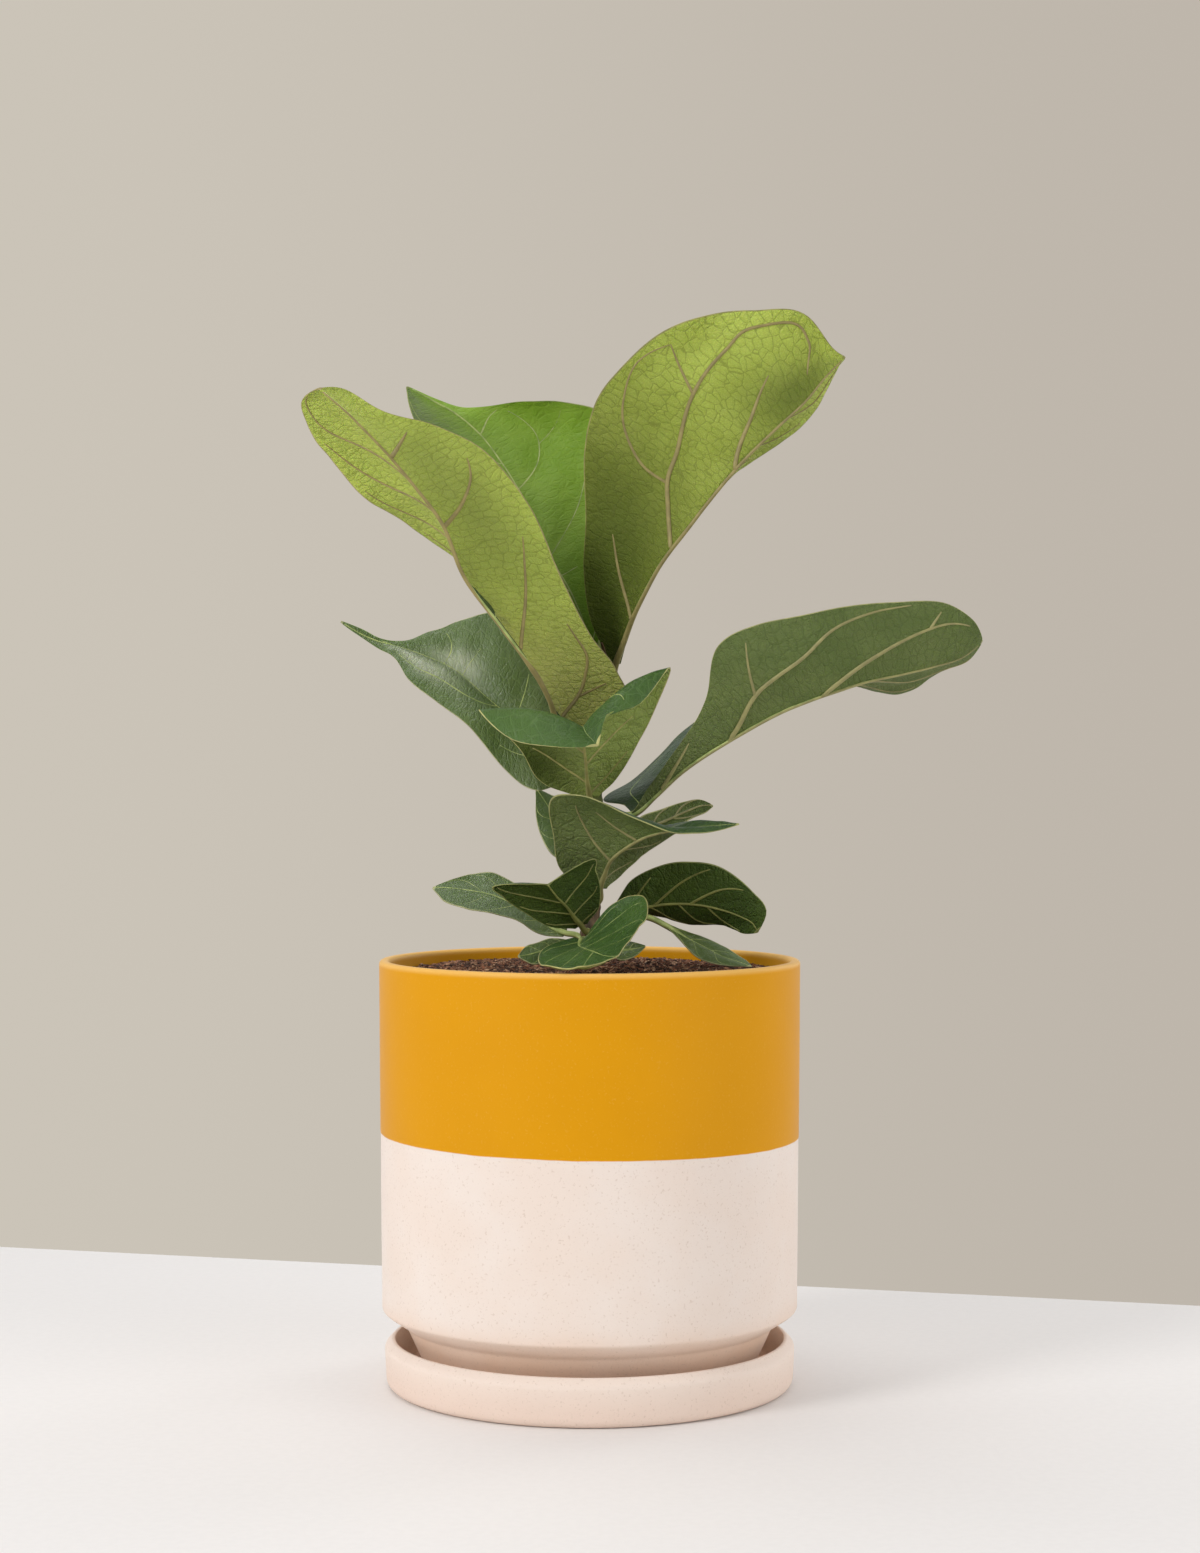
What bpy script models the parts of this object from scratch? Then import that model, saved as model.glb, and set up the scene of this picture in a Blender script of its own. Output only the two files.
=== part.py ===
"""A young fiddle leaf fig in a two-tone ceramic pot that stands on its saucer.

Units are metres in Blender and millimetres in the named sizes below. +Z is up, the front of the
plant faces -Y, and the origin is the middle of the saucer's underside.
"""

import math
from typing import NamedTuple

import bmesh
import bpy
import numpy as np

MM = 0.001
GAP = 0.35  # between pieces that rest on or in each other

# Pot
POT_RADIUS = 101.5
POT_TOP = 204.0  # height of the rim above the table
POT_WALL = 5.0
RIM_ROUND = 2.3
BODY_BOTTOM = 37.2  # where the side turns in
BODY_TAPER = 1.3  # how far the side leans in on its way down
CHAMFER_DEPTH = 11.6  # how far it turns in
CHAMFER_HEIGHT = 7.7
FOOT_TAPER = 10.7
INSIDE_STEP_RISE = 3.0  # how far the inside's step lies above the outside's
FLOOR_THICKNESS = 7.0
DRAIN_RADIUS = 8.0
SHOULDER_ROUND = 2.2
CHAMFER_ROUND = 4.0
INSIDE_ROUND = 6.0
FOOT_ROUND = 3.5

# Saucer
SAUCER_HEIGHT = 22.6
SAUCER_WALL = 5.2
SAUCER_CHANNEL = 4.9  # clear width round the foot's widest ring
SAUCER_FLOOR = 6.0
SAUCER_LEAN = 1.0  # how far its wall leans out
SAUCER_COVE = 4.0  # round between its floor and its wall
SAUCER_LIP_EDGE = 0.7  # small round on the lip's inside edge
SAUCER_LIP_FLAT = 1.6
SAUCER_LIP_FALL = 3.6  # how far the lip rounds off down its outside
SAUCER_LIP_ROUND = 4.0
SAUCER_HEEL = 5.0

# Soil
SOIL_BELOW_RIM = 7.0
SOIL_MOUND = 3.0
SOIL_MOUND_RINGS = 4
SOIL_EDGE_WIDTH = 2.0  # ring round the soil where it settles against the wall
SOIL_EDGE_DROP = 1.0

# Stem
STEM_RADIUS = 4.4
STEM_TOP_RADIUS = 3.0
STEM_IN_SOIL = 25.0
STEM_FOOT_CLEAR = 2.0  # from the stem's end to the bottom of its socket
STEM_HEIGHT = 142.0
BUD_LENGTH = 16.0
BUD_TIP_RADIUS = 0.5
STEM_LEAN = (4.0, 3.0)

# Leaves
PLANT_SCALE = 1.0
PETIOLE_RADIUS = 1.7
BLADE_THICKNESS = 1.0
RIB_DEPTH = 1.5
RIB_WIDTH = 2.2
TIP_WIDTH = 0.9
PETIOLE_RISE = 0.35  # how steeply a petiole leaves the stem, as a share of its later rise
BLADE_START_STATION = 1  # the petiole's round section has faded out by this station

TURN_STEPS = 48
FILLET_STEPS = 3
STEM_SIDES_RESOLUTION = 3
LARGE_LEAF = 100.0  # blades longer than this take more sections
LARGE_SECTIONS = 15
SMALL_SECTIONS = 10
ACROSS = (-1.0, -0.6, -0.2, 0.0, 0.2, 0.6, 1.0)

GLAZE = (0.672, 0.325, 0.004)
BISQUE = (0.791, 0.672, 0.597)
SOIL_BROWN = (0.040, 0.022, 0.014)
BARK = (0.105, 0.080, 0.040)
LEAF_GREEN = (0.070, 0.150, 0.035)


class Leaf(NamedTuple):
    """One leaf, in millimetres from the crown, which is the soil's surface at the stem.

    attach: height up the stem where the petiole leaves it.
    cup: how far each half arches between midrib and margin, as a share of its width, left and
        right; a positive value arches towards the underside.
    petiole: points along the petiole between the stem and the blade.
    blade: stations from base to tip, each a midrib point, a left and a right margin point, as
        seen by someone who looks at the upper face with the tip up.
    """

    attach: float
    cup: tuple
    petiole: list
    blade: list


LEAVES = {
    "leaf_upper_left": Leaf(
        attach=105,
        cup=(-0.1, -0.1),
        petiole=[(-7, -10, 109)],
        blade=[
            ((-14, -16, 115), (-2, -9, 112), (-11, -12, 118)),
            ((-20, -22, 129), (18, 1, 127), (-14, 2, 134)),
            ((-27, -28, 143), (13, -5, 143), (-20, 10, 149)),
            ((-40, -37, 161), (1, -12, 159), (-34, 7, 172)),
            ((-58, -47, 185), (-14, -22, 188), (-59, 0, 193)),
            ((-68, -55, 209), (-29, -30, 221), (-85, -12, 210)),
            ((-80, -60, 225), (-48, -37, 244), (-105, -22, 223)),
            ((-94, -64, 242), (-72, -44, 256), (-121, -32, 241)),
            ((-110, -67, 258), (-99, -53, 263), (-132, -42, 256)),
            ((-117, -68, 264), (-113, -56, 271), (-134, -48, 266)),
            ((-124, -66, 270), (-124, -66, 270), (-124, -66, 270)),
        ],
    ),
    "leaf_upper_right": Leaf(
        attach=114,
        cup=(-0.1, -0.12),
        petiole=[(9.5, 6.5, 125)],
        blade=[
            ((12, 9, 144), (15, 12, 147), (8, 11, 148)),
            ((17, 0, 159), (20, 20, 165), (0, 7, 169)),
            ((23, -12, 174), (26, 28, 181), (-3, 0, 191)),
            ((32, -22, 191), (37, 32, 200), (-2, -14, 214)),
            ((47, -32, 210), (54, 30, 221), (-2, -30, 246)),
            ((70, -42, 238), (77, 22, 244), (12, -44, 280)),
            ((86, -48, 253), (94, 6, 255), (39, -52, 300)),
            ((100, -51, 266), (109, -12, 268), (74, -56, 307)),
            ((110, -51, 278), (115, -32, 280), (102, -56, 304)),
            ((115, -50, 283), (117, -42, 284), (112, -54, 291)),
            ((119, -48, 287), (119, -48, 287), (119, -48, 287)),
        ],
    ),
    "leaf_upper_back": Leaf(
        attach=117,
        cup=(0.1, 0.1),
        petiole=[(1, 14, 123)],
        blade=[
            ((3, 18, 133), (0, 18, 135), (5, 18, 134)),
            ((0, 24, 158), (-11, 20, 161), (12, 18, 159)),
            ((-9, 29, 182), (-27, 20, 178), (16, 17, 188)),
            ((-19, 33, 200), (-44, 22, 192), (20, 14, 217)),
            ((-35, 39, 234), (-61, 27, 222), (16, 18, 252)),
            ((-45, 42, 250), (-72, 30, 238), (4, 24, 273)),
            ((-55, 44, 263), (-80, 34, 256), (-31, 37, 279)),
            ((-67, 44, 273), (-87, 34, 267), (-60, 48, 276)),
            ((-80, 42, 280), (-90, 36, 276), (-77, 46, 281)),
            ((-91, 39, 286), (-91, 39, 286), (-91, 39, 286)),
        ],
    ),
    "leaf_mid_left": Leaf(
        attach=81,
        cup=(-0.08, -0.06),
        petiole=[(-5, 7, 84)],
        blade=[
            ((-11, 9, 91), (-13, 6, 87), (-10, 11, 95)),
            ((-22, 14, 104), (-26, 2, 85), (-14, 26, 122)),
            ((-38, 22, 120), (-42, 6, 96), (-25, 37, 150)),
            ((-52, 27, 132), (-58, 10, 115), (-42, 43, 171)),
            ((-67, 32, 145), (-75, 19, 128), (-62, 43, 170)),
            ((-82, 36, 152), (-89, 25, 139), (-80, 41, 164)),
            ((-94, 38, 156), (-97, 33, 151), (-92, 40, 159)),
            ((-105, 39, 159), (-106, 38, 156), (-105, 40, 160)),
            ((-114, 39, 163), (-115, 39, 162), (-114, 40, 165)),
            ((-124, 39, 169), (-124, 39, 169), (-124, 39, 169)),
        ],
    ),
    "leaf_front_mid": Leaf(
        attach=73,
        cup=(-0.08, -0.08),
        petiole=[(1, -8, 77)],
        blade=[
            ((0, -13, 82), (4, -11, 82), (-3, -11, 81)),
            ((-1, -20, 89), (11, -10, 88), (-21, -12, 88)),
            ((-2, -32, 101), (22, -20, 106), (-33, -28, 105)),
            ((-3, -43, 110), (32, -26, 126), (-45, -40, 116)),
            ((-3, -50, 115), (38, -36, 143), (-51, -47, 121)),
            ((-1, -58, 111), (21, -50, 124), (-32, -60, 107)),
            ((2, -62, 108), (8, -58, 120), (-13, -66, 105)),
            ((4, -65, 106), (4, -65, 106), (4, -65, 106)),
        ],
    ),
    "leaf_right": Leaf(
        attach=69,
        cup=(-0.03, 0.1),
        petiole=[(11, -6, 73)],
        blade=[
            ((21, -12, 74), (17, -8, 78), (20, -14, 75)),
            ((31, -18, 83), (7, 8, 80), (28, -20, 87)),
            ((43, -24, 94), (22, 18, 89), (36, -26, 98)),
            ((65, -33, 109), (51, 22, 119), (54, -38, 127)),
            ((81, -38, 118), (75, 22, 134), (59, -50, 152)),
            ((97, -42, 125), (98, 18, 139), (77, -58, 162)),
            ((109, -45, 130), (115, 12, 141), (97, -62, 166)),
            ((126, -47, 135), (134, 4, 135), (117, -64, 170)),
            ((145, -47, 139), (151, -6, 133), (139, -64, 172)),
            ((161, -46, 143), (167, -20, 141), (164, -60, 172)),
            ((174, -45, 148), (178, -34, 146), (178, -54, 164)),
            ((183, -46, 155), (183, -46, 155), (183, -46, 155)),
        ],
    ),
    "leaf_center": Leaf(
        attach=30,
        cup=(-0.08, -0.08),
        petiole=[(5, -6, 33)],
        blade=[
            ((5, -9, 38), (8, -6, 38), (2, -8, 38)),
            ((7, -14, 45), (14, 0, 43), (-13, -12, 46)),
            ((10, -22, 52), (20, 2, 49), (-17, -24, 63)),
            ((17, -29, 58), (28, 2, 55), (-18, -38, 80)),
            ((25, -36, 63), (36, -2, 60), (-2, -50, 82)),
            ((34, -44, 66), (44, -14, 65), (22, -57, 73)),
            ((47, -51, 68), (52, -34, 71), (42, -61, 66)),
            ((58, -56, 69), (61, -48, 71), (56, -61, 66)),
            ((69, -60, 70), (69, -60, 70), (69, -60, 70)),
        ],
    ),
    "leaf_behind_left": Leaf(
        attach=42,
        cup=(-0.05, -0.05),
        petiole=[(-1, 9, 47.5)],
        blade=[
            ((-4.5, 12, 51.5), (-6, 11, 49.5), (-1.5, 13, 53)),
            ((-9.5, 15, 60), (-18, 11, 53.5), (-2, 19, 66)),
            ((-14.5, 18, 68), (-24, 15, 63), (-6, 23, 74.5)),
            ((-20, 21, 76.5), (-26.5, 19, 73.5), (-13.5, 25, 80.5)),
            ((-24, 23, 82.5), (-26.5, 22, 80.5), (-21.5, 25, 84)),
            ((-26.5, 24, 86), (-26.5, 24, 86), (-26.5, 24, 86)),
        ],
    ),
    "leaf_behind_right": Leaf(
        attach=53,
        cup=(-0.08, -0.08),
        petiole=[(11, 10, 56)],
        blade=[
            ((17.5, 15, 61), (18.5, 13, 59), (16.5, 17, 64)),
            ((27.5, 21, 66), (30.5, 17, 62), (24.5, 25, 72)),
            ((38.5, 27, 70.5), (42.5, 23, 67.5), (35.5, 31, 76)),
            ((48.5, 32, 75), (51.5, 30, 72), (46.5, 35, 79.5)),
            ((55.5, 35, 77.5), (57.5, 34, 74.5), (55, 37, 80.5)),
            ((61, 37, 77.5), (61, 37, 77.5), (61, 37, 77.5)),
        ],
    ),
    "leaf_low_left": Leaf(
        attach=11,
        cup=(0.06, 0.06),
        petiole=[(-6, 4, 15)],
        blade=[
            ((-11.5, 5, 16), (-13, 3, 14.5), (-11, 7, 18)),
            ((-22, 8, 21), (-24, 0, 16), (-20.5, 16, 29)),
            ((-34, 12, 28), (-37, -2, 23), (-36, 25, 39)),
            ((-47.5, 14, 34), (-51.5, -3, 27), (-48.5, 29, 44.5)),
            ((-60.5, 16, 36.5), (-63.5, 0, 29.5), (-60, 28, 43)),
            ((-70, 17, 37.5), (-72, 6, 33), (-69, 23, 40.5)),
            ((-77, 18, 37.5), (-77, 18, 37.5), (-77, 18, 37.5)),
        ],
    ),
    "leaf_low_front_left": Leaf(
        attach=17,
        cup=(-0.08, -0.08),
        petiole=[(-2.5, -7, 18)],
        blade=[
            ((-4, -10, 20.5), (-1, -10, 21.5), (-7, -10, 19)),
            ((-7.5, -16, 25), (4, -12, 29), (-19, -18, 20.5)),
            ((-11, -23, 30.5), (5, -17, 39), (-30, -26, 27)),
            ((-15.5, -30, 35.5), (3, -24, 47.5), (-40.5, -35, 35)),
            ((-18, -35, 39), (0, -30, 52), (-42.5, -40, 40.5)),
            ((-19.5, -38, 41.5), (-19.5, -38, 41.5), (-19.5, -38, 41.5)),
        ],
    ),
    "leaf_low_front": Leaf(
        attach=9,
        cup=(0.05, 0.05),
        petiole=[(-1, -13, 14)],
        blade=[
            ((-3.5, -22, 14.5), (0, -21, 18), (-7, -22, 15.5)),
            ((-5, -32, 13), (9.5, -26, 30.5), (-19.5, -40, 13)),
            ((-2.5, -46, 11.5), (24.5, -30, 36), (-23, -70, 8.5)),
            ((2, -60, 10.5), (27, -42, 27.5), (-16.5, -97, 6)),
            ((7.5, -72, 10), (20.5, -58, 18.5), (-1.5, -98, 6)),
            ((13, -80, 10.5), (13, -80, 10.5), (13, -80, 10.5)),
        ],
    ),
    "leaf_low_front_small": Leaf(
        attach=5,
        cup=(0.05, 0.05),
        petiole=[(-8.5, -5, 8.5)],
        blade=[
            ((-10.5, -12, 11.5), (-11.5, -12, 9.5), (-10, -12, 13.5)),
            ((-17.5, -20, 10.5), (-18, -24, 6), (-18.5, -18, 15)),
            ((-24.5, -28, 9), (-23.5, -34, 4), (-25.5, -24, 13)),
            ((-29.5, -33, 8), (-28, -37, 4.5), (-30.5, -29, 11.5)),
            ((-33.5, -36, 7.5), (-33.5, -36, 7.5), (-33.5, -36, 7.5)),
        ],
    ),
    "leaf_low_back": Leaf(
        attach=6,
        cup=(-0.05, -0.05),
        petiole=[(7, 2.5, 8.5)],
        blade=[
            ((9.5, 3, 8.5), (9, 5, 10.5), (10, 1, 6.5)),
            ((14, 4, 7.5), (13, 9, 11), (14, -2, 3.5)),
            ((20, 6, 8), (19.5, 10, 11.5), (20.5, 0, 4.5)),
            ((27, 8, 9.5), (27, 8, 9.5), (27, 8, 9.5)),
        ],
    ),
    "leaf_low_right": Leaf(
        attach=21,
        cup=(0.06, 0.08),
        petiole=[(8, 5, 24)],
        blade=[
            ((13, 7, 26), (14, 9, 24), (12, 6, 30)),
            ((24, 7, 28), (27, 18, 25), (19, 3, 41)),
            ((37, 6, 30), (40, 20, 21), (34, 0, 49)),
            ((49, 4, 30), (51, 19, 19), (47, -3, 51)),
            ((62, 1, 28), (63, 14, 20), (64, -6, 48)),
            ((72, -1, 25), (71, 7, 18), (78, -7, 37)),
            ((79, -3, 21), (76, 1, 16), (85, -6, 26)),
            ((81, -4, 17), (81, -4, 17), (81, -4, 17)),
        ],
    ),
    "leaf_low_right_soil": Leaf(
        attach=18,
        cup=(-0.05, -0.05),
        petiole=[(15.5, -1, 22.5), (27.5, 0, 24)],
        blade=[
            ((37.5, 2, 19.5), (38, 3, 20.5), (37, 1, 19)),
            ((46, 4, 14.5), (48.5, 8, 16.5), (43.5, -1, 13)),
            ((55.5, 5, 9.5), (60.5, 11, 11.5), (50, -3, 6)),
            ((65, 4, 4.5), (70, 9, 6), (59, -3, 2)),
            ((72.5, 3, 2), (75.5, 6, 2.5), (69, -1, 0.5)),
            ((78, 2, 0), (78, 2, 0), (78, 2, 0)),
        ],
    ),
}


def crown_height():
    """Height of the soil's surface at the stem."""
    return POT_TOP - SOIL_BELOW_RIM + SOIL_MOUND


def foot_bottom():
    """Height of the pot's underside."""
    return SAUCER_FLOOR + GAP


def foot_radius():
    """Largest radius of the pot's foot."""
    return POT_RADIUS - BODY_TAPER - CHAMFER_DEPTH


def finish(name, colour, roughness):
    """A plain Principled material."""
    made = bpy.data.materials.new(name)
    made.use_nodes = True
    shader = made.node_tree.nodes["Principled BSDF"]
    shader.inputs["Base Color"].default_value = (*colour, 1.0)
    shader.inputs["Roughness"].default_value = roughness
    shader.inputs["Metallic"].default_value = 0.0
    made.diffuse_color = (*colour, 1.0)
    return made


def new_object(name, mesh, material, collection):
    """Adds a mesh to the collection as an object with one material and smooth shading."""
    mesh.materials.append(material)
    made = bpy.data.objects.new(name, mesh)
    collection.objects.link(made)
    mesh.shade_smooth()
    mesh.set_sharp_from_angle(angle=math.radians(40))
    return made


def rounded(corners):
    """Outline of (radius, height) corners, each given as (radius, height, fillet)."""
    outline = []
    count = len(corners)
    for index, (r, z, fillet) in enumerate(corners):
        here = np.array((r, z), float)
        if fillet == 0:
            outline.append(here)
            continue
        before = np.array(corners[index - 1][:2], float) - here
        after = np.array(corners[(index + 1) % count][:2], float) - here
        reach_before = np.linalg.norm(before)
        reach_after = np.linalg.norm(after)
        before = before / reach_before
        after = after / reach_after
        half = math.acos(max(-1.0, min(1.0, float(before @ after)))) / 2
        setback = min(fillet / math.tan(half), 0.45 * reach_before, 0.45 * reach_after)
        for step in range(FILLET_STEPS + 1):
            s = step / FILLET_STEPS
            start = here + before * setback
            end = here + after * setback
            outline.append((1 - s) ** 2 * start + 2 * s * (1 - s) * here + s * s * end)
    return outline


def turned(name, outline, closed, material, collection):
    """Turns an outline of (radius, height) millimetres about Z with a Screw modifier."""
    mesh = bpy.data.meshes.new(name)
    points = [(r * MM, 0.0, z * MM) for r, z in outline]
    edges = [(i, i + 1) for i in range(len(points) - 1)]
    if closed:
        edges.append((len(points) - 1, 0))
    mesh.from_pydata(points, edges, [])
    made = bpy.data.objects.new(name, mesh)
    mesh.materials.append(material)
    collection.objects.link(made)
    screw = made.modifiers.new("Turn", "SCREW")
    screw.angle = math.tau
    screw.steps = TURN_STEPS
    screw.render_steps = TURN_STEPS
    screw.use_merge_vertices = True
    screw.merge_threshold = 0.00001
    screw.use_smooth_shade = True
    return made


def pot_inside():
    """The corners of the pot's inside, from the rim down to the drain hole."""
    floor = foot_bottom() + FLOOR_THICKNESS
    inner = POT_RADIUS - POT_WALL
    step = BODY_BOTTOM - CHAMFER_HEIGHT + INSIDE_STEP_RISE
    return [
        (inner, POT_TOP, RIM_ROUND),
        (inner - BODY_TAPER, BODY_BOTTOM + INSIDE_STEP_RISE, INSIDE_ROUND),
        (foot_radius() - POT_WALL, step, INSIDE_ROUND),
        (foot_radius() - POT_WALL - FOOT_TAPER, floor, FOOT_ROUND),
    ]


def build_pot(collection):
    """Straight-sided pot with a rounded rim, a chamfered step to its foot and a drain hole."""
    floor = foot_bottom() + FLOOR_THICKNESS
    corners = [
        (POT_RADIUS, POT_TOP, RIM_ROUND),
        (POT_RADIUS - BODY_TAPER, BODY_BOTTOM, SHOULDER_ROUND),
        (foot_radius(), BODY_BOTTOM - CHAMFER_HEIGHT, CHAMFER_ROUND),
        (foot_radius() - FOOT_TAPER, foot_bottom(), FOOT_ROUND),
        (DRAIN_RADIUS, foot_bottom(), 0),
        (DRAIN_RADIUS, floor, 0),
        *reversed(pot_inside()),
    ]
    return turned("pot", rounded(corners), True, finish("glazed_stoneware", GLAZE, 0.45), collection)


def build_saucer(collection):
    """Shallow dish with an upright rounded lip and a rounded heel."""
    inner = foot_radius() + SAUCER_CHANNEL
    outer = inner + SAUCER_WALL
    corners = [
        (0.0, 0.0, 0),
        (0.0, SAUCER_FLOOR, 0),
        (inner - SAUCER_LEAN, SAUCER_FLOOR, SAUCER_COVE),
        (inner, SAUCER_HEIGHT, SAUCER_LIP_EDGE),
        (inner + SAUCER_LIP_FLAT, SAUCER_HEIGHT, SAUCER_LIP_ROUND),
        (outer, SAUCER_HEIGHT - SAUCER_LIP_FALL, SAUCER_LIP_ROUND),
        (outer - SAUCER_LEAN, 0.0, SAUCER_HEEL),
    ]
    outline = rounded(corners)
    outline = outline[1:] + outline[:1]
    return turned("saucer", outline, False, finish("bisque", BISQUE, 0.85), collection)


def build_soil(collection):
    """The filled inside of the pot, mounded towards the stem, with the stem's socket."""
    socket = STEM_RADIUS + GAP
    edge_height = POT_TOP - SOIL_BELOW_RIM
    floor = foot_bottom() + FLOOR_THICKNESS + GAP
    inside = [(r - GAP, z + GAP, fillet) for r, z, fillet in pot_inside()[1:]]
    rim = POT_RADIUS - POT_WALL - GAP
    outline = [(0.0, crown_height() - STEM_IN_SOIL), (socket, crown_height() - STEM_IN_SOIL)]
    for ring in range(SOIL_MOUND_RINGS):
        r = socket + (rim - SOIL_EDGE_WIDTH - socket) * ring / (SOIL_MOUND_RINGS - 1)
        outline.append((r, edge_height + SOIL_MOUND * (1 - (r / rim) ** 2)))
    outline.append((rim, edge_height - SOIL_EDGE_DROP))
    walls = rounded([(rim, edge_height - SOIL_EDGE_DROP, 0), *inside, (0.0, floor, 0)])
    outline += [tuple(point) for point in walls[1:]]
    return turned("potting_soil", outline, False, finish("soil", SOIL_BROWN, 0.95), collection)


def curve_through(times, values, at):
    """Smooth curve through values at times, read at each of the given times."""
    times = np.asarray(times, float)
    values = np.asarray(values, float)
    at = np.asarray(at, float)
    spans = np.diff(times)
    slopes = np.diff(values, axis=0) / spans[:, None]
    tangents = np.empty_like(values)
    weights = (times[2:] - times[:-2])[:, None]
    tangents[1:-1] = (slopes[:-1] * spans[1:, None] + slopes[1:] * spans[:-1, None]) / weights
    tangents[0] = 1.5 * slopes[0] - 0.5 * tangents[1]
    tangents[-1] = 1.5 * slopes[-1] - 0.5 * tangents[-2]
    k = np.clip(np.searchsorted(times, at, side="right") - 1, 0, len(times) - 2)
    h = spans[k][:, None]
    s = ((at - times[k]) / spans[k])[:, None]
    return (
        (2 * s**3 - 3 * s**2 + 1) * values[k]
        + (s**3 - 2 * s**2 + s) * h * tangents[k]
        + (3 * s**2 - 2 * s**3) * values[k + 1]
        + (s**3 - s**2) * h * tangents[k + 1]
    )


def unit(vectors):
    """Vectors made one long."""
    lengths = np.linalg.norm(vectors, axis=-1, keepdims=True)
    return vectors / np.maximum(lengths, 1e-9)


def stem_axis(height):
    """The stem's middle at a height above the crown, in millimetres from the crown."""
    share = max(0.0, height) / STEM_HEIGHT
    return np.array((STEM_LEAN[0] * share, STEM_LEAN[1] * share, height))


def stem_radius(height):
    """The stem's radius at a height above the crown."""
    share = min(1.0, max(0.0, height) / STEM_HEIGHT)
    return STEM_RADIUS + (STEM_TOP_RADIUS - STEM_RADIUS) * share


def build_stem(collection):
    """The woody stem from its foot in the soil to the pointed bud at its top."""
    heights = [STEM_FOOT_CLEAR - STEM_IN_SOIL, 0.0, *np.linspace(30.0, STEM_HEIGHT, 5)]
    radii = [stem_radius(height) for height in heights]
    for share, width in ((0.35, 1.1), (0.7, 0.65), (1.0, 0.0)):
        heights.append(STEM_HEIGHT + BUD_LENGTH * share)
        radii.append(max(BUD_TIP_RADIUS, STEM_TOP_RADIUS * width))
    curve = bpy.data.curves.new("stem", "CURVE")
    curve.dimensions = "3D"
    curve.bevel_depth = MM
    curve.bevel_resolution = STEM_SIDES_RESOLUTION
    curve.use_fill_caps = True
    spline = curve.splines.new("POLY")
    spline.points.add(len(heights) - 1)
    for point, height, radius in zip(spline.points, heights, radii):
        x, y, z = stem_axis(height) * PLANT_SCALE
        z = height * PLANT_SCALE if height > 0 else height
        point.co = (x * MM, y * MM, (z + crown_height()) * MM, 1.0)
        point.radius = radius
    curve.materials.append(finish("bark", BARK, 0.8))
    made = bpy.data.objects.new("stem", curve)
    collection.objects.link(made)
    return made


def leaf_stations(leaf):
    """Midrib points, left and right offsets of every station, and the petiole's first direction."""
    first, second = (np.array(leaf.blade[i], float) for i in (0, 1))
    side = unit((second[2] - second[1]) + 0.5 * (first[2] - first[1]))
    start = stem_axis(leaf.attach)
    aim = np.array(leaf.petiole[0], float) - start
    aim = unit(np.array((aim[0], aim[1], PETIOLE_RISE * abs(aim[2]))))
    reach = stem_radius(leaf.attach) / PLANT_SCALE + 2 * GAP + PETIOLE_RADIUS * aim[2]
    root = start + aim * reach / math.hypot(aim[0], aim[1])
    middles = [root, *leaf.petiole]
    lefts = [-side * PETIOLE_RADIUS for _ in middles]
    rights = [side * PETIOLE_RADIUS for _ in middles]
    for middle, left, right in leaf.blade[:-1]:
        middles.append(middle)
        lefts.append(np.subtract(left, middle))
        rights.append(np.subtract(right, middle))
    tip = np.array(leaf.blade[-1][0], float)
    last_side = unit(rights[-1] - lefts[-1])
    middles.append(tip)
    lefts.append(-last_side * TIP_WIDTH / 2)
    rights.append(last_side * TIP_WIDTH / 2)
    return np.array(middles, float), np.array(lefts, float), np.array(rights, float), aim


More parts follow.
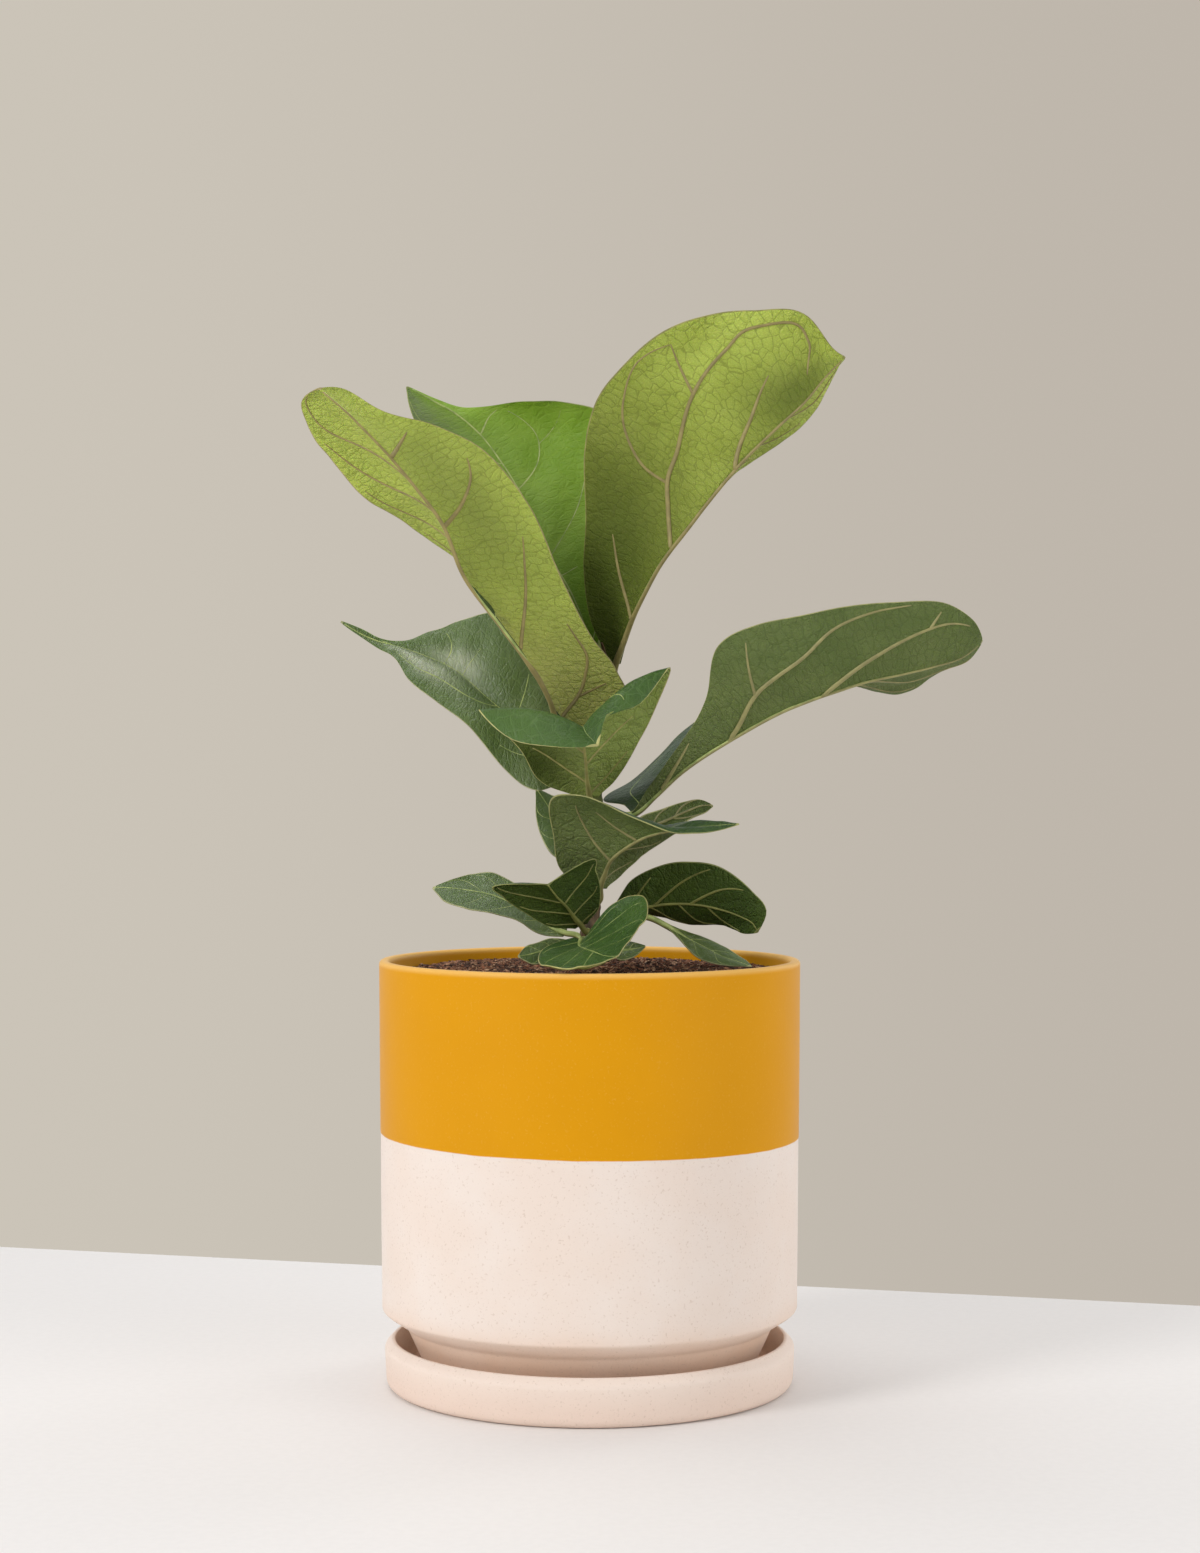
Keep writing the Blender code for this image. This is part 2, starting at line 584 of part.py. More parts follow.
def leaf_rings(leaf):
    """Rings of points round the leaf's sections, from the stem to the tip."""
    middles, lefts, rights, aim = leaf_stations(leaf)
    steps = np.linalg.norm(np.diff(middles, axis=0), axis=1)
    times = np.concatenate(([0.0], np.cumsum(steps)))
    blade_from = times[len(leaf.petiole) + 1]
    blade_length = times[-1] - blade_from
    sections = LARGE_SECTIONS if blade_length > LARGE_LEAF else SMALL_SECTIONS
    share = np.linspace(0.0, 1.0, sections)
    share = 0.6 * share + 0.4 * (1 - np.cos(math.pi * share)) / 2
    stalk = np.linspace(0.0, blade_from, 4)[:-1]
    at = np.concatenate((stalk, blade_from + share * blade_length))
    middle = curve_through(times, middles, at)
    left = curve_through(times, lefts, at)
    right = curve_through(times, rights, at)
    along = unit(np.gradient(middle, axis=0))
    along[0] = aim
    grid = []
    for v in ACROSS:
        offset, cup = (left, leaf.cup[0]) if v < 0 else (right, leaf.cup[1])
        width = np.linalg.norm(offset, axis=1, keepdims=True)
        down = unit(np.cross(offset, along)) if v < 0 else unit(np.cross(along, offset))
        arch = 4 * abs(v) * (1 - abs(v)) * cup
        grid.append(middle + offset * abs(v) + down * width * arch)
    grid = np.stack(grid, axis=1)
    up = unit(np.cross(np.gradient(grid, axis=1), np.gradient(grid, axis=0)))
    round_until = times[len(leaf.petiole) + 1 + BLADE_START_STATION]
    roundness = np.clip(1 - (at - blade_from) / (round_until - blade_from), 0.0, 1.0)
    roundness = np.where(at < blade_from, 1.0, roundness**1.5)
    fade = np.clip((times[-1] - at) / blade_length, 0.0, 1.0)
    side = right - left
    side = unit(side - along * np.sum(side * along, axis=1, keepdims=True))
    face = unit(np.cross(side, along))
    count = len(ACROSS)
    rings = []
    for i in range(len(at)):
        ring = []
        for k in range(2 * count):
            top = k < count
            j = k if top else 2 * count - 1 - k
            v = ACROSS[j]
            lift = BLADE_THICKNESS / 2
            if not top:
                reach = abs(v) * np.linalg.norm((left if v < 0 else right)[i])
                lift = -lift - RIB_DEPTH * fade[i] * math.exp(-((reach / RIB_WIDTH) ** 2))
            flat = grid[i, j] + up[i, j] * lift
            turn = math.pi * (1 - (k + 0.5) / count)
            round_point = middle[i] + PETIOLE_RADIUS * (
                side[i] * math.cos(turn) + face[i] * math.sin(turn)
            )
            ring.append(roundness[i] * round_point + (1 - roundness[i]) * flat)
        rings.append(ring)
    return np.array(rings)


def build_leaf(name, leaf, material, collection):
    """Skins the leaf's rings as one closed body with its petiole, rib and blade."""
    rings = leaf_rings(leaf) * PLANT_SCALE
    rings[:, :, 2] += crown_height()
    count = rings.shape[1]
    made = bmesh.new()
    rows = [[made.verts.new(point * MM) for point in ring] for ring in rings]
    for low, high in zip(rows[:-1], rows[1:]):
        for k in range(count):
            after = (k + 1) % count
            made.faces.new((low[k], low[after], high[after], high[k]))
    made.faces.new(rows[0])
    made.faces.new(list(reversed(rows[-1])))
    bmesh.ops.recalc_face_normals(made, faces=made.faces)
    mesh = bpy.data.meshes.new(name)
    made.to_mesh(mesh)
    made.free()
    return new_object(name, mesh, material, collection)


def main():
    """Clears the scene and builds every piece."""
    for old in list(bpy.data.objects):
        bpy.data.objects.remove(old)
    collection = bpy.data.collections.new("potted_fiddle_leaf_fig")
    bpy.context.scene.collection.children.link(collection)
    build_saucer(collection)
    build_pot(collection)
    build_soil(collection)
    build_stem(collection)
    for name, leaf in LEAVES.items():
        build_leaf(name, leaf, finish(name, LEAF_GREEN, 0.45), collection)


main()
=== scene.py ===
"""A young fiddle leaf fig in a two-tone stoneware pot on its saucer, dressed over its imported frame.

Lengths are millimetres in the named sizes and metres in Blender. Leaves are described from the
crown, the soil's surface at the stem, and seen with the upper face up and the tip away.
"""

import logging
import math
from collections.abc import Iterable, Mapping, Sequence
from dataclasses import dataclass, field
from enum import Enum
from typing import Any

import bpy
import numpy as np
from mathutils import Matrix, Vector, noise
from mathutils.kdtree import KDTree


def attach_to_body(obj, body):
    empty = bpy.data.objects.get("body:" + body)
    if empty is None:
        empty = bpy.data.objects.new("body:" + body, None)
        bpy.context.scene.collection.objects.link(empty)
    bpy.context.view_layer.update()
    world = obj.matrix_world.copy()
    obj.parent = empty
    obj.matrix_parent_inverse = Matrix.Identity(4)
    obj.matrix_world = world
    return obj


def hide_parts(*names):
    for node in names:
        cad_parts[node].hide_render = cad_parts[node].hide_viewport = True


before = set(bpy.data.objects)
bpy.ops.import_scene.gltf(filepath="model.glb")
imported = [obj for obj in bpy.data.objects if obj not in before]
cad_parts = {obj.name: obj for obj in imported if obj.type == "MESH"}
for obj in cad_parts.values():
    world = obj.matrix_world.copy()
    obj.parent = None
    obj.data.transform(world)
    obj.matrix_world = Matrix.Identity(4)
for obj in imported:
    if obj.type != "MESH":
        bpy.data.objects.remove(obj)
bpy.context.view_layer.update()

LOG = logging.getLogger("potted_fig")
MM = 0.001
ROOT = "root"
BLADE_MAP = "blade"
CENTIMETRE = 10.0

# leaves: glossiness under and through the blade, and sizes in millimetres
SUBSURFACE = 0.35
UNDER_SHINE = 0.16
PETIOLE_RADIUS = 1.7
PETIOLE_RISE = 0.35  # how steeply a petiole leaves the stem, as a share of its later rise
PETIOLE_SUNK = 1.2  # how far its root reaches into the stem
TIP_WIDTH = 0.9
TUBE_SIDES = 10
VEIN_STEP = 1.4
LAST_ALONG = 0.985  # shares of the blade at which ribs end
LAST_ACROSS = 0.975
FULL_SIZE = 34.0  # half width from which a blade is puckered at full strength
PUFF = 1.0
RIPPLE = 0.40
RIPPLE_LENGTH = 8.0
SWELL = 1.3
SWELL_LENGTH = 30.0

Colour = tuple[float, float, float]
Point = tuple[float, float, float]
Station = tuple[Point, Point, Point]
VeinPath = tuple[tuple[float, float], ...]
Array = np.ndarray


def srgb(red: int, green: int, blue: int) -> Colour:
    """Linear colour of an 8-bit display colour."""

    def linear(level: int) -> float:
        """Linear share of one 8-bit level."""
        share = level / 255
        return share / 12.92 if share <= 0.04045 else ((share + 0.055) / 1.055) ** 2.4

    return linear(red), linear(green), linear(blue)


# --- shading -------------------------------------------------------------------------------------


class Signal:
    """One value, colour or vector in a material, on which arithmetic adds Math nodes."""

    def __init__(self, shader: "Shader", socket: bpy.types.NodeSocket) -> None:
        """Wraps a node's output socket."""
        self.shader = shader
        self.socket = socket

    def math(self, operation: str, *values: "Signal | float") -> "Signal":
        """Adds a Math node.

        Args:
            operation: Name of the Math node's operation.
            values: The node's inputs in order.

        Returns:
            The node's output.
        """
        node = self.shader.node("ShaderNodeMath", {"operation": operation}, dict(enumerate(values)))
        return Signal(self.shader, node.outputs[0])

    def __add__(self, other: "Signal | float") -> "Signal":
        """Sum of two values."""
        return self.math("ADD", self, other)

    def __sub__(self, other: "Signal | float") -> "Signal":
        """Difference of two values."""
        return self.math("SUBTRACT", self, other)

    def __rsub__(self, other: float) -> "Signal":
        """Difference with the signal taken away."""
        return self.math("SUBTRACT", other, self)

    def __mul__(self, other: "Signal | float") -> "Signal":
        """Product of two values."""
        return self.math("MULTIPLY", self, other)

    def between(self, low: float, high: float) -> "Signal":
        """Smooth step from 0 at low to 1 at high.

        Args:
            low: Value at which the step starts.
            high: Value at which it is done.

        Returns:
            A value from 0 to 1.
        """
        node = self.shader.node(
            "ShaderNodeMapRange",
            {"interpolation_type": "SMOOTHSTEP"},
            {"Value": self, "From Min": low, "From Max": high},
        )
        return Signal(self.shader, node.outputs[0])


class Shader:
    """Node tree of one material, written as expressions."""

    def __init__(self, name: str, holder: bpy.types.ID | None = None) -> None:
        """Starts an empty node tree in a new material, or in the world that is given."""
        self.material = holder or bpy.data.materials.new(name)
        self.material.use_nodes = True
        self.tree = self.material.node_tree
        self.tree.nodes.clear()

    def node(
        self,
        kind: str,
        settings: Mapping[str, Any] | None = None,
        inputs: Mapping[str | int, Any] | None = None,
    ) -> bpy.types.Node:
        """Adds a node.

        Args:
            kind: Blender's type name of the node.
            settings: Attributes to set before its sockets.
            inputs: Values or signals by socket name or number.

        Returns:
            The new node.
        """
        made = self.tree.nodes.new(kind)
        for key, value in (settings or {}).items():
            setattr(made, key, value)
        for key, value in (inputs or {}).items():
            socket = made.inputs[key]
            if isinstance(value, Signal):
                self.tree.links.new(value.socket, socket)
            elif socket.type == "RGBA" and len(value) == 3:
                socket.default_value = (*value, 1.0)
            else:
                socket.default_value = value
        return made

    def signal(self, node: bpy.types.Node, output: str | int = 0) -> Signal:
        """One output of a node as a signal."""
        return Signal(self, node.outputs[output])

    def mix(self, share: Signal | float, first: Signal | Colour, second: Signal | Colour) -> Signal:
        """Mixes two colours.

        Args:
            share: How much of the second colour there is, from 0 to 1.
            first: Colour at 0.
            second: Colour at 1.

        Returns:
            The mixed colour.
        """
        made = self.node("ShaderNodeMix", {"data_type": "RGBA"}, {0: share, 6: first, 7: second})
        return self.signal(made, 2)

    def place(self) -> Signal:
        """The point on the surface in the object's own frame, in metres."""
        return self.signal(self.node("ShaderNodeTexCoord"), "Object")

    def height(self) -> Signal:
        """Height of the point above the table, in metres."""
        apart = self.node("ShaderNodeSeparateXYZ", None, {0: self.place()})
        return self.signal(apart, "Z")

    def attribute(self, name: str) -> Signal:
        """A number stored on the mesh's points."""
        return self.signal(self.node("ShaderNodeAttribute", {"attribute_name": name}), "Fac")

    def stretched(self, vector: Signal, scale: Point) -> Signal:
        """A vector with its axes scaled."""
        settings = {"operation": "MULTIPLY"}
        made = self.node("ShaderNodeVectorMath", settings, {0: vector, 1: scale})
        return self.signal(made)

    def noise(self, vector: Signal, scale: float, detail: float = 3.0) -> Signal:
        """Fractal noise from about 0.3 to 0.7.

        Args:
            vector: Where the noise is read.
            scale: Features per unit of the vector.
            detail: Octaves added to the first.

        Returns:
            The noise's value.
        """
        values = {"Vector": vector, "Scale": scale, "Detail": detail}
        return self.signal(self.node("ShaderNodeTexNoise", None, values), 0)

    def wandering(self, vector: Signal, scale: float, reach: float) -> Signal:
        """A vector moved about by noise, so that straight lines on it wander.

        Args:
            vector: The vector to move.
            scale: Features of the noise per unit of the vector.
            reach: How far it may move.

        Returns:
            The moved vector.
        """
        values = {"Vector": vector, "Scale": scale, "Detail": 1.0}
        colour = self.signal(self.node("ShaderNodeTexNoise", None, values), 1)
        settings = {"operation": "MULTIPLY_ADD"}
        made = self.node("ShaderNodeVectorMath", settings, {0: colour, 1: (reach,) * 3, 2: vector})
        return self.signal(made)

    def cell_edges(self, vector: Signal, scale: float, randomness: float = 0.9) -> Signal:
        """Distance to the nearest edge of a net of irregular cells.

        Args:
            vector: Where the net is read.
            scale: Cells per unit of the vector.
            randomness: How uneven the cells are, from 0 to 1.

        Returns:
            The distance, as a share of a cell.
        """
        settings = {"feature": "DISTANCE_TO_EDGE"}
        values = {"Vector": vector, "Scale": scale, "Randomness": randomness}
        return self.signal(self.node("ShaderNodeTexVoronoi", settings, values), 0)

    def bump(self, height: Signal, depth: float, strength: float = 1.0) -> Signal:
        """A surface direction tilted by a height.

        Args:
            height: Relief from 0 to 1.
            depth: Height in metres that 1 stands for.
            strength: Share of the tilt that is used.

        Returns:
            The normal.
        """
        values = {"Strength": strength, "Distance": depth, "Height": height}
        return self.signal(self.node("ShaderNodeBump", None, values))

    def finish(self, **sockets: Any) -> bpy.types.Material:
        """Ends the tree in a Principled shader.

        Args:
            sockets: Values or signals by socket name, with underscores for spaces.

        Returns:
            The finished material.
        """
        inputs = {key.replace("_", " "): value for key, value in sockets.items()}
        shader = self.node("ShaderNodeBsdfPrincipled", None, inputs)
        self.node("ShaderNodeOutputMaterial", None, {"Surface": self.signal(shader)})
        return self.material


@dataclass(frozen=True)
class BladeFace:
    """Finish of one face of a leaf: tissue, its fine net of veins, its sheen, and spots of painted
    sheen and painted shade.
    """

    name: str
    tissue: Colour
    shade: Colour
    base: Colour
    net: Colour
    dull: Colour
    gloss: float
    relief: float
    net_share: float
    shine: float
    base_reach: float = 0.5

    def material(self) -> bpy.types.Material:
        """Builds the material.

        Returns:
            Leaf tissue with two sizes of vein net, its base colour and spots of painted sheen and
            painted shade.
        """
        shader = Shader(self.name)
        blade = shader.signal(shader.node("ShaderNodeUVMap", {"uv_map": BLADE_MAP}))
        bent = shader.wandering(blade, 1.6, 0.22)
        ladder = shader.cell_edges(shader.stretched(bent, (3.3, 1.7, 1.0)), 1.0, 0.7)
        fine = shader.cell_edges(bent, 8.5, 0.8)
        broad = shader.noise(blade, 0.28, 2.0).between(0.35, 0.65)
        tissue = shader.mix(broad, self.tissue, self.shade)
        # Towards the stem the tissue turns to its base colour, the leaf's own tone there; the olive
        # underside's dark base is also painted shade from the leaves above it.
        reach = shader.attribute("reach").between(0.0, self.base_reach)
        tissue = shader.mix(1.0 - reach, tissue, self.base)
        # Painted sheen and painted shade: soft spots listed per leaf, pale grey where the blade
        # catches a sheen and darker where it lies in shade.
        tissue = shader.mix(shader.attribute("dull"), tissue, self.dull)
        lines = 1.0 - ladder.between(0.014, 0.055)
        threads = 1.0 - fine.between(0.0, 0.12)
        tissue = shader.mix(lines * self.net_share, tissue, self.net)
        tissue = shader.mix(threads * (self.net_share * 0.5), tissue, self.net)
        pillows = ladder.between(0.0, 0.20) * 0.6 + fine.between(0.0, 0.30) * 0.4
        worn = shader.noise(blade, 6.0, 4.0)
        return shader.finish(
            Base_Color=tissue,
            Roughness=worn * 0.16 + (self.gloss - 0.08),
            Specular_IOR_Level=self.shine,
            Normal=shader.bump(pillows, self.relief * MM, 0.8),
            Subsurface_Weight=SUBSURFACE,
            Subsurface_Radius=(0.7, 1.0, 0.25),
            Subsurface_Scale=0.9 * MM,
        )


@dataclass(frozen=True)
class Rib:
    """Finish of the midrib, the large veins and the petiole on one side of a leaf."""

    name: str
    colour: Colour
    darker: Colour

    def material(self) -> bpy.types.Material:
        """Builds the material: fine lengthwise streaks between two close colours."""
        shader = Shader(self.name)
        place = shader.place()
        patches = shader.noise(place, 160.0, 4.0).between(0.38, 0.62)
        grain = shader.noise(place, 1400.0, 2.0)
        return shader.finish(
            Base_Color=shader.mix(patches, self.colour, self.darker),
            Roughness=grain * 0.2 + 0.42,
            Normal=shader.bump(grain, 0.15 * MM, 0.6),
        )


@dataclass(frozen=True)
class Tone:
    """The finishes of one kind of leaf, from the young lime ones to the old dark ones."""

    name: str
    upper: BladeFace
    under: BladeFace
    rib_upper: Rib
    rib_under: Rib
    margin: Rib

    def materials(self) -> list[bpy.types.Material]:
        """The finishes in the order of the material slots of a leaf."""
        finishes = (self.upper, self.under, self.rib_upper, self.rib_under, self.margin)
        return [finish.material() for finish in finishes]


def tone(
    name: str,
    upper: Sequence[Colour],
    under: Sequence[Colour],
    rib: Colour,
    margin: Colour,
    gloss: float = 0.40,
    net_share: float = 0.35,
    shine: float = 0.4,
    base_reach: float = 0.5,
) -> Tone:
    """Makes a tone from its main colours.

    Args:
        name: Start of its materials' names.
        upper: Tissue, shade, base and net colours of the upper face, and the colour of its painted
            sheen and shade spots.
        under: The same for the underside.
        rib: Colour of the large veins on the underside.
        margin: Colour of the thin edge.
        gloss: Roughness of the upper face.
        net_share: How strongly the fine net shows on the underside.
        shine: Strength of the upper face's reflection.
        base_reach: Share of the length over which the colour of the base fades.

    Returns:
        The tone.
    """
    pale = srgb(176, 188, 112)
    return Tone(
        name,
        BladeFace(f"{name}_upper", *upper, gloss=gloss, relief=0.34, net_share=0.34, shine=shine),
        BladeFace(
            f"{name}_under",
            *under,
            gloss=0.62,
            relief=0.9,
            net_share=net_share,
            shine=UNDER_SHINE,
            base_reach=base_reach,
        ),
        Rib(f"{name}_rib_upper", pale, srgb(138, 156, 84)),
        Rib(f"{name}_rib_under", rib, tuple(0.78 * c for c in rib)),
        Rib(f"{name}_margin", margin, tuple(0.7 * c for c in margin)),
    )


LIME = tone(
    "lime_leaf",
    (srgb(66, 88, 34), srgb(50, 72, 28), srgb(56, 80, 32), srgb(92, 112, 54), srgb(44, 58, 24)),
    (
        srgb(184, 198, 92), srgb(172, 186, 86), srgb(188, 188, 108),
        srgb(108, 118, 44), srgb(140, 152, 74),
    ),
    srgb(148, 134, 78),
    srgb(168, 156, 98),
    net_share=0.40,
)
# Its underside's dark base colour, spread over most of its length, is partly painted shade from the
# leaves above it.
OLIVE = tone(
    "olive_leaf",
    (srgb(70, 96, 36), srgb(54, 80, 28), srgb(46, 66, 26), srgb(92, 116, 52), srgb(46, 62, 26)),
    (srgb(188, 202, 96), srgb(172, 186, 82), srgb(74, 86, 22), srgb(84, 94, 34), srgb(76, 90, 28)),
    srgb(150, 138, 84),
    srgb(150, 148, 80),
    net_share=0.36,
    base_reach=0.8,
)
BRIGHT = tone(
    "bright_leaf",
    (
        srgb(136, 168, 58), srgb(122, 158, 40), srgb(104, 140, 12),
        srgb(136, 166, 56), srgb(126, 140, 100),
    ),
    (
        srgb(132, 150, 76), srgb(112, 132, 62), srgb(108, 126, 60),
        srgb(94, 106, 48), srgb(104, 122, 84),
    ),
    srgb(160, 158, 84),
    srgb(142, 152, 82),
    gloss=0.46,
    shine=0.18,
)
DEEP = tone(
    "deep_leaf",
    (
        srgb(94, 114, 64), srgb(82, 104, 52), srgb(88, 104, 52),
        srgb(116, 134, 84), srgb(188, 192, 170),
    ),
    (srgb(92, 110, 64), srgb(78, 98, 54), srgb(82, 100, 52), srgb(70, 84, 42), srgb(84, 98, 62)),
    srgb(158, 156, 96),
    srgb(170, 172, 120),
    gloss=0.36,
)
FRESH = tone(
    "fresh_leaf",
    (srgb(78, 106, 48), srgb(62, 90, 40), srgb(60, 88, 42), srgb(104, 132, 80), srgb(88, 112, 66)),
    (
        srgb(160, 176, 100), srgb(144, 160, 84), srgb(162, 176, 96),
        srgb(88, 102, 44), srgb(72, 86, 32),
    ),
    srgb(170, 164, 96),
    srgb(188, 184, 116),
    shine=0.24,
)
SAGE = tone(
    "sage_leaf",
    (srgb(58, 82, 44), srgb(46, 70, 36), srgb(46, 68, 34), srgb(86, 108, 64), srgb(80, 96, 62)),
    (srgb(108, 122, 70), srgb(94, 110, 60), srgb(112, 124, 74), srgb(72, 86, 42), srgb(84, 98, 58)),
    srgb(150, 145, 92),
    srgb(164, 164, 104),
    shine=0.3,
)
MOSS = tone(
    "moss_leaf",
    (srgb(56, 80, 40), srgb(44, 66, 34), srgb(44, 64, 32), srgb(82, 102, 58), srgb(70, 86, 50)),
    (srgb(78, 97, 38), srgb(64, 83, 33), srgb(70, 88, 36), srgb(58, 74, 30), srgb(66, 84, 34)),
    srgb(138, 140, 74),
    srgb(148, 154, 90),
    gloss=0.38,
)


@dataclass(frozen=True)
class Clay:
    """Bare, fine-grained bisque clay, with painted shade that turns it warmer and darker towards its
    foot.
    """

    pale: Colour = srgb(238, 226, 217)
    foot_shade: Colour = srgb(229, 198, 174)
    speck: Colour = srgb(196, 172, 152)
    foot_shade_below: float = 24.0
    pale_above: float = 48.0

    def colour(self, shader: Shader) -> Signal:
        """The clay's colour with its specks and its painted shade towards the foot.

        Args:
            shader: The material it is added to.

        Returns:
            The colour.
        """
        # Painted shade: from pale_above down to the foot the clay turns warmer and darker.
        rise = shader.height().between(self.foot_shade_below * MM, self.pale_above * MM)
        clouds = shader.noise(shader.place(), 28.0, 3.0).between(0.3, 0.75)
        clay = shader.mix(rise * 0.8 + clouds * 0.2, self.foot_shade, self.pale)
        specks = shader.noise(shader.place(), 850.0, 2.0).between(0.60, 0.72)
        return shader.mix(specks * 0.35, clay, self.speck)

    def grain(self, shader: Shader) -> Signal:
        """Relief of the clay's grain from 0 to 1."""
        return shader.noise(shader.place(), 700.0, 5.0)

    def material(self, name: str) -> bpy.types.Material:
        """Builds the bare clay as a material of its own.

        Args:
            name: Name of the material.

        Returns:
            The material.
        """
        shader = Shader(name)
        grain = self.grain(shader)
        return shader.finish(
            Base_Color=self.colour(shader),
            Roughness=grain * 0.15 + 0.78,
            Normal=shader.bump(grain, 0.22 * MM, 0.7),
        )


@dataclass(frozen=True)
class GlazedClay:
    """Satin marigold glaze over the upper part of the clay, down to a hand-dipped line."""

    glaze: Colour = srgb(220, 153, 0)
    deep: Colour = srgb(218, 151, 0)
    # Colour of thin glaze in fine specks, also used for the painted highlight on the lip.
    thin_glaze_and_highlight: Colour = srgb(246, 200, 118)
    line: float = 120.45
    tilt: float = 0.013
    rim: float = 204.0
    softness: float = 0.25
    # Span below the rim, in millimetres, of the painted highlight on the lip.
    lip_highlight: tuple[float, float] = (3.2, 0.6)
    clay: Clay = field(default_factory=Clay)

    def material(self, name: str) -> bpy.types.Material:
        """Builds the two-tone material.

        Args:
            name: Name of the material.

        Returns:
            The material.
        """
        shader = Shader(name)
        place = shader.place()
        height = shader.height()
        waver = (shader.noise(place, 60.0, 3.0) - 0.5) * (0.9 * MM)
        across = shader.signal(shader.node("ShaderNodeSeparateXYZ", None, {0: place}), "X")
        dipped = height + waver + across * self.tilt
        low, high = self.line - self.softness, self.line + self.softness
        glazed = dipped.between(low * MM, high * MM)
        pools = shader.noise(place, 22.0, 3.0).between(0.3, 0.7)
        colour = shader.mix(pools, self.glaze, self.deep)
        fine = shader.noise(place, 900.0, 2.0)
        colour = shader.mix(fine.between(0.58, 0.75) * 0.10, colour, self.thin_glaze_and_highlight)
        # Painted highlight: a lighter band of glaze just below the rim, on the rounded lip.
        lip_highlight = height.between(*((self.rim - below) * MM for below in self.lip_highlight))
        colour = shader.mix(lip_highlight * 0.6, colour, self.thin_glaze_and_highlight)
        grain = self.clay.grain(shader)
        peel = shader.noise(place, 260.0, 3.0)
        relief = grain * (1.0 - glazed) + (peel * 0.4 + fine * 0.3) * glazed
        return shader.finish(
            Base_Color=shader.mix(glazed, self.clay.colour(shader), colour),
            Roughness=(1.0 - glazed) * 0.36 + (fine * 0.10 + 0.46),
            Normal=shader.bump(relief, 0.20 * MM, 0.6),
            Specular_IOR_Level=0.14,
            Sheen_Weight=0.16,
            Sheen_Roughness=0.30,
        )


@dataclass(frozen=True)
class Crumb:
    """Finish of potting mix or of one kind of bark chip in it."""

    name: str
    colour: Colour
    dark: Colour
    roughness: float = 0.9

    def material(self) -> bpy.types.Material:
        """Builds the material: fibrous flecks between two colours."""
        shader = Shader(self.name)
        place = shader.place()
        flecks = shader.noise(place, 520.0, 4.0).between(0.36, 0.64)
        fibres = shader.noise(shader.stretched(place, (1.0, 1.0, 0.3)), 1900.0, 3.0)
        return shader.finish(
            Base_Color=shader.mix(flecks, self.colour, self.dark),
            Roughness=fibres * 0.1 + (self.roughness - 0.05),
            Normal=shader.bump(fibres, 0.4 * MM, 0.8),
        )


@dataclass(frozen=True)
class Bark:
    """Greyish-brown bark low on the stem that gives way to green higher up."""

    bark: Colour = srgb(112, 92, 66)
    crack: Colour = srgb(66, 52, 36)
    green: Colour = srgb(112, 128, 62)
    green_from: float = 245.0
    green_to: float = 300.0

    def material(self, name: str) -> bpy.types.Material:
        """Builds the material.

        Args:
            name: Name of the material.

        Returns:
            The material.
        """
        shader = Shader(name)
        place = shader.place()
        streaks = shader.noise(shader.stretched(place, (1.0, 1.0, 0.22)), 620.0, 5.0)
        wood = shader.mix(streaks.between(0.38, 0.62), self.crack, self.bark)
        young = shader.height().between(self.green_from * MM, self.green_to * MM)
        return shader.finish(
            Base_Color=shader.mix(young * 0.85, wood, self.green),
            Roughness=streaks * 0.25 + 0.6,
            Normal=shader.bump(streaks, 0.5 * MM, 0.8),
        )


@dataclass(frozen=True)
class TableTop:
    """Plain pale painted table top."""

    colour: Colour = srgb(236, 233, 231)

    def material(self, name: str) -> bpy.types.Material:
        """Builds the material.

        Args:
            name: Name of the material.

        Returns:
            The material.
        """
        shader = Shader(name)
        grain = shader.noise(shader.place(), 240.0, 3.0)
        darker = tuple(0.985 * c for c in self.colour)
        return shader.finish(
            Base_Color=shader.mix(grain.between(0.35, 0.65), self.colour, darker),
            Roughness=grain * 0.1 + 0.6,
            Specular_IOR_Level=0.25,
        )


# --- shapes --------------------------------------------------------------------------------------


def unit(vectors: Array) -> Array:
    """Vectors made one long."""
    lengths = np.linalg.norm(vectors, axis=-1, keepdims=True)
    return vectors / np.maximum(lengths, 1e-9)


def curve_through(times: Array, values: Array, at: Array) -> Array:
    """Smooth curve through points, read at given times.

    Args:
        times: Rising time of each point.
        values: The points, one a row.
        at: Times at which the curve is read.

    Returns:
        The curve's points, one a row.
    """
    spans = np.diff(times)
    slopes = np.diff(values, axis=0) / spans[:, None]
    tangents = np.empty_like(values)
    weights = (times[2:] - times[:-2])[:, None]
    tangents[1:-1] = (slopes[:-1] * spans[1:, None] + slopes[1:] * spans[:-1, None]) / weights
    tangents[0] = 1.5 * slopes[0] - 0.5 * tangents[min(1, len(times) - 2)]
    tangents[-1] = 1.5 * slopes[-1] - 0.5 * tangents[-2]
    if len(times) == 2:
        tangents[:] = slopes[0]
    k = np.clip(np.searchsorted(times, at, side="right") - 1, 0, len(times) - 2)
    h = spans[k][:, None]
    s = ((at - times[k]) / spans[k])[:, None]
    return (
        (2 * s**3 - 3 * s**2 + 1) * values[k]
        + (s**3 - 2 * s**2 + s) * h * tangents[k]
        + (3 * s**2 - 2 * s**3) * values[k + 1]
        + (s**3 - s**2) * h * tangents[k + 1]
    )


def chord_times(points: Array) -> Array:
    """Length along a row of points, from 0."""
    steps = np.linalg.norm(np.diff(points, axis=0), axis=1)
    return np.concatenate(([0.0], np.cumsum(steps)))


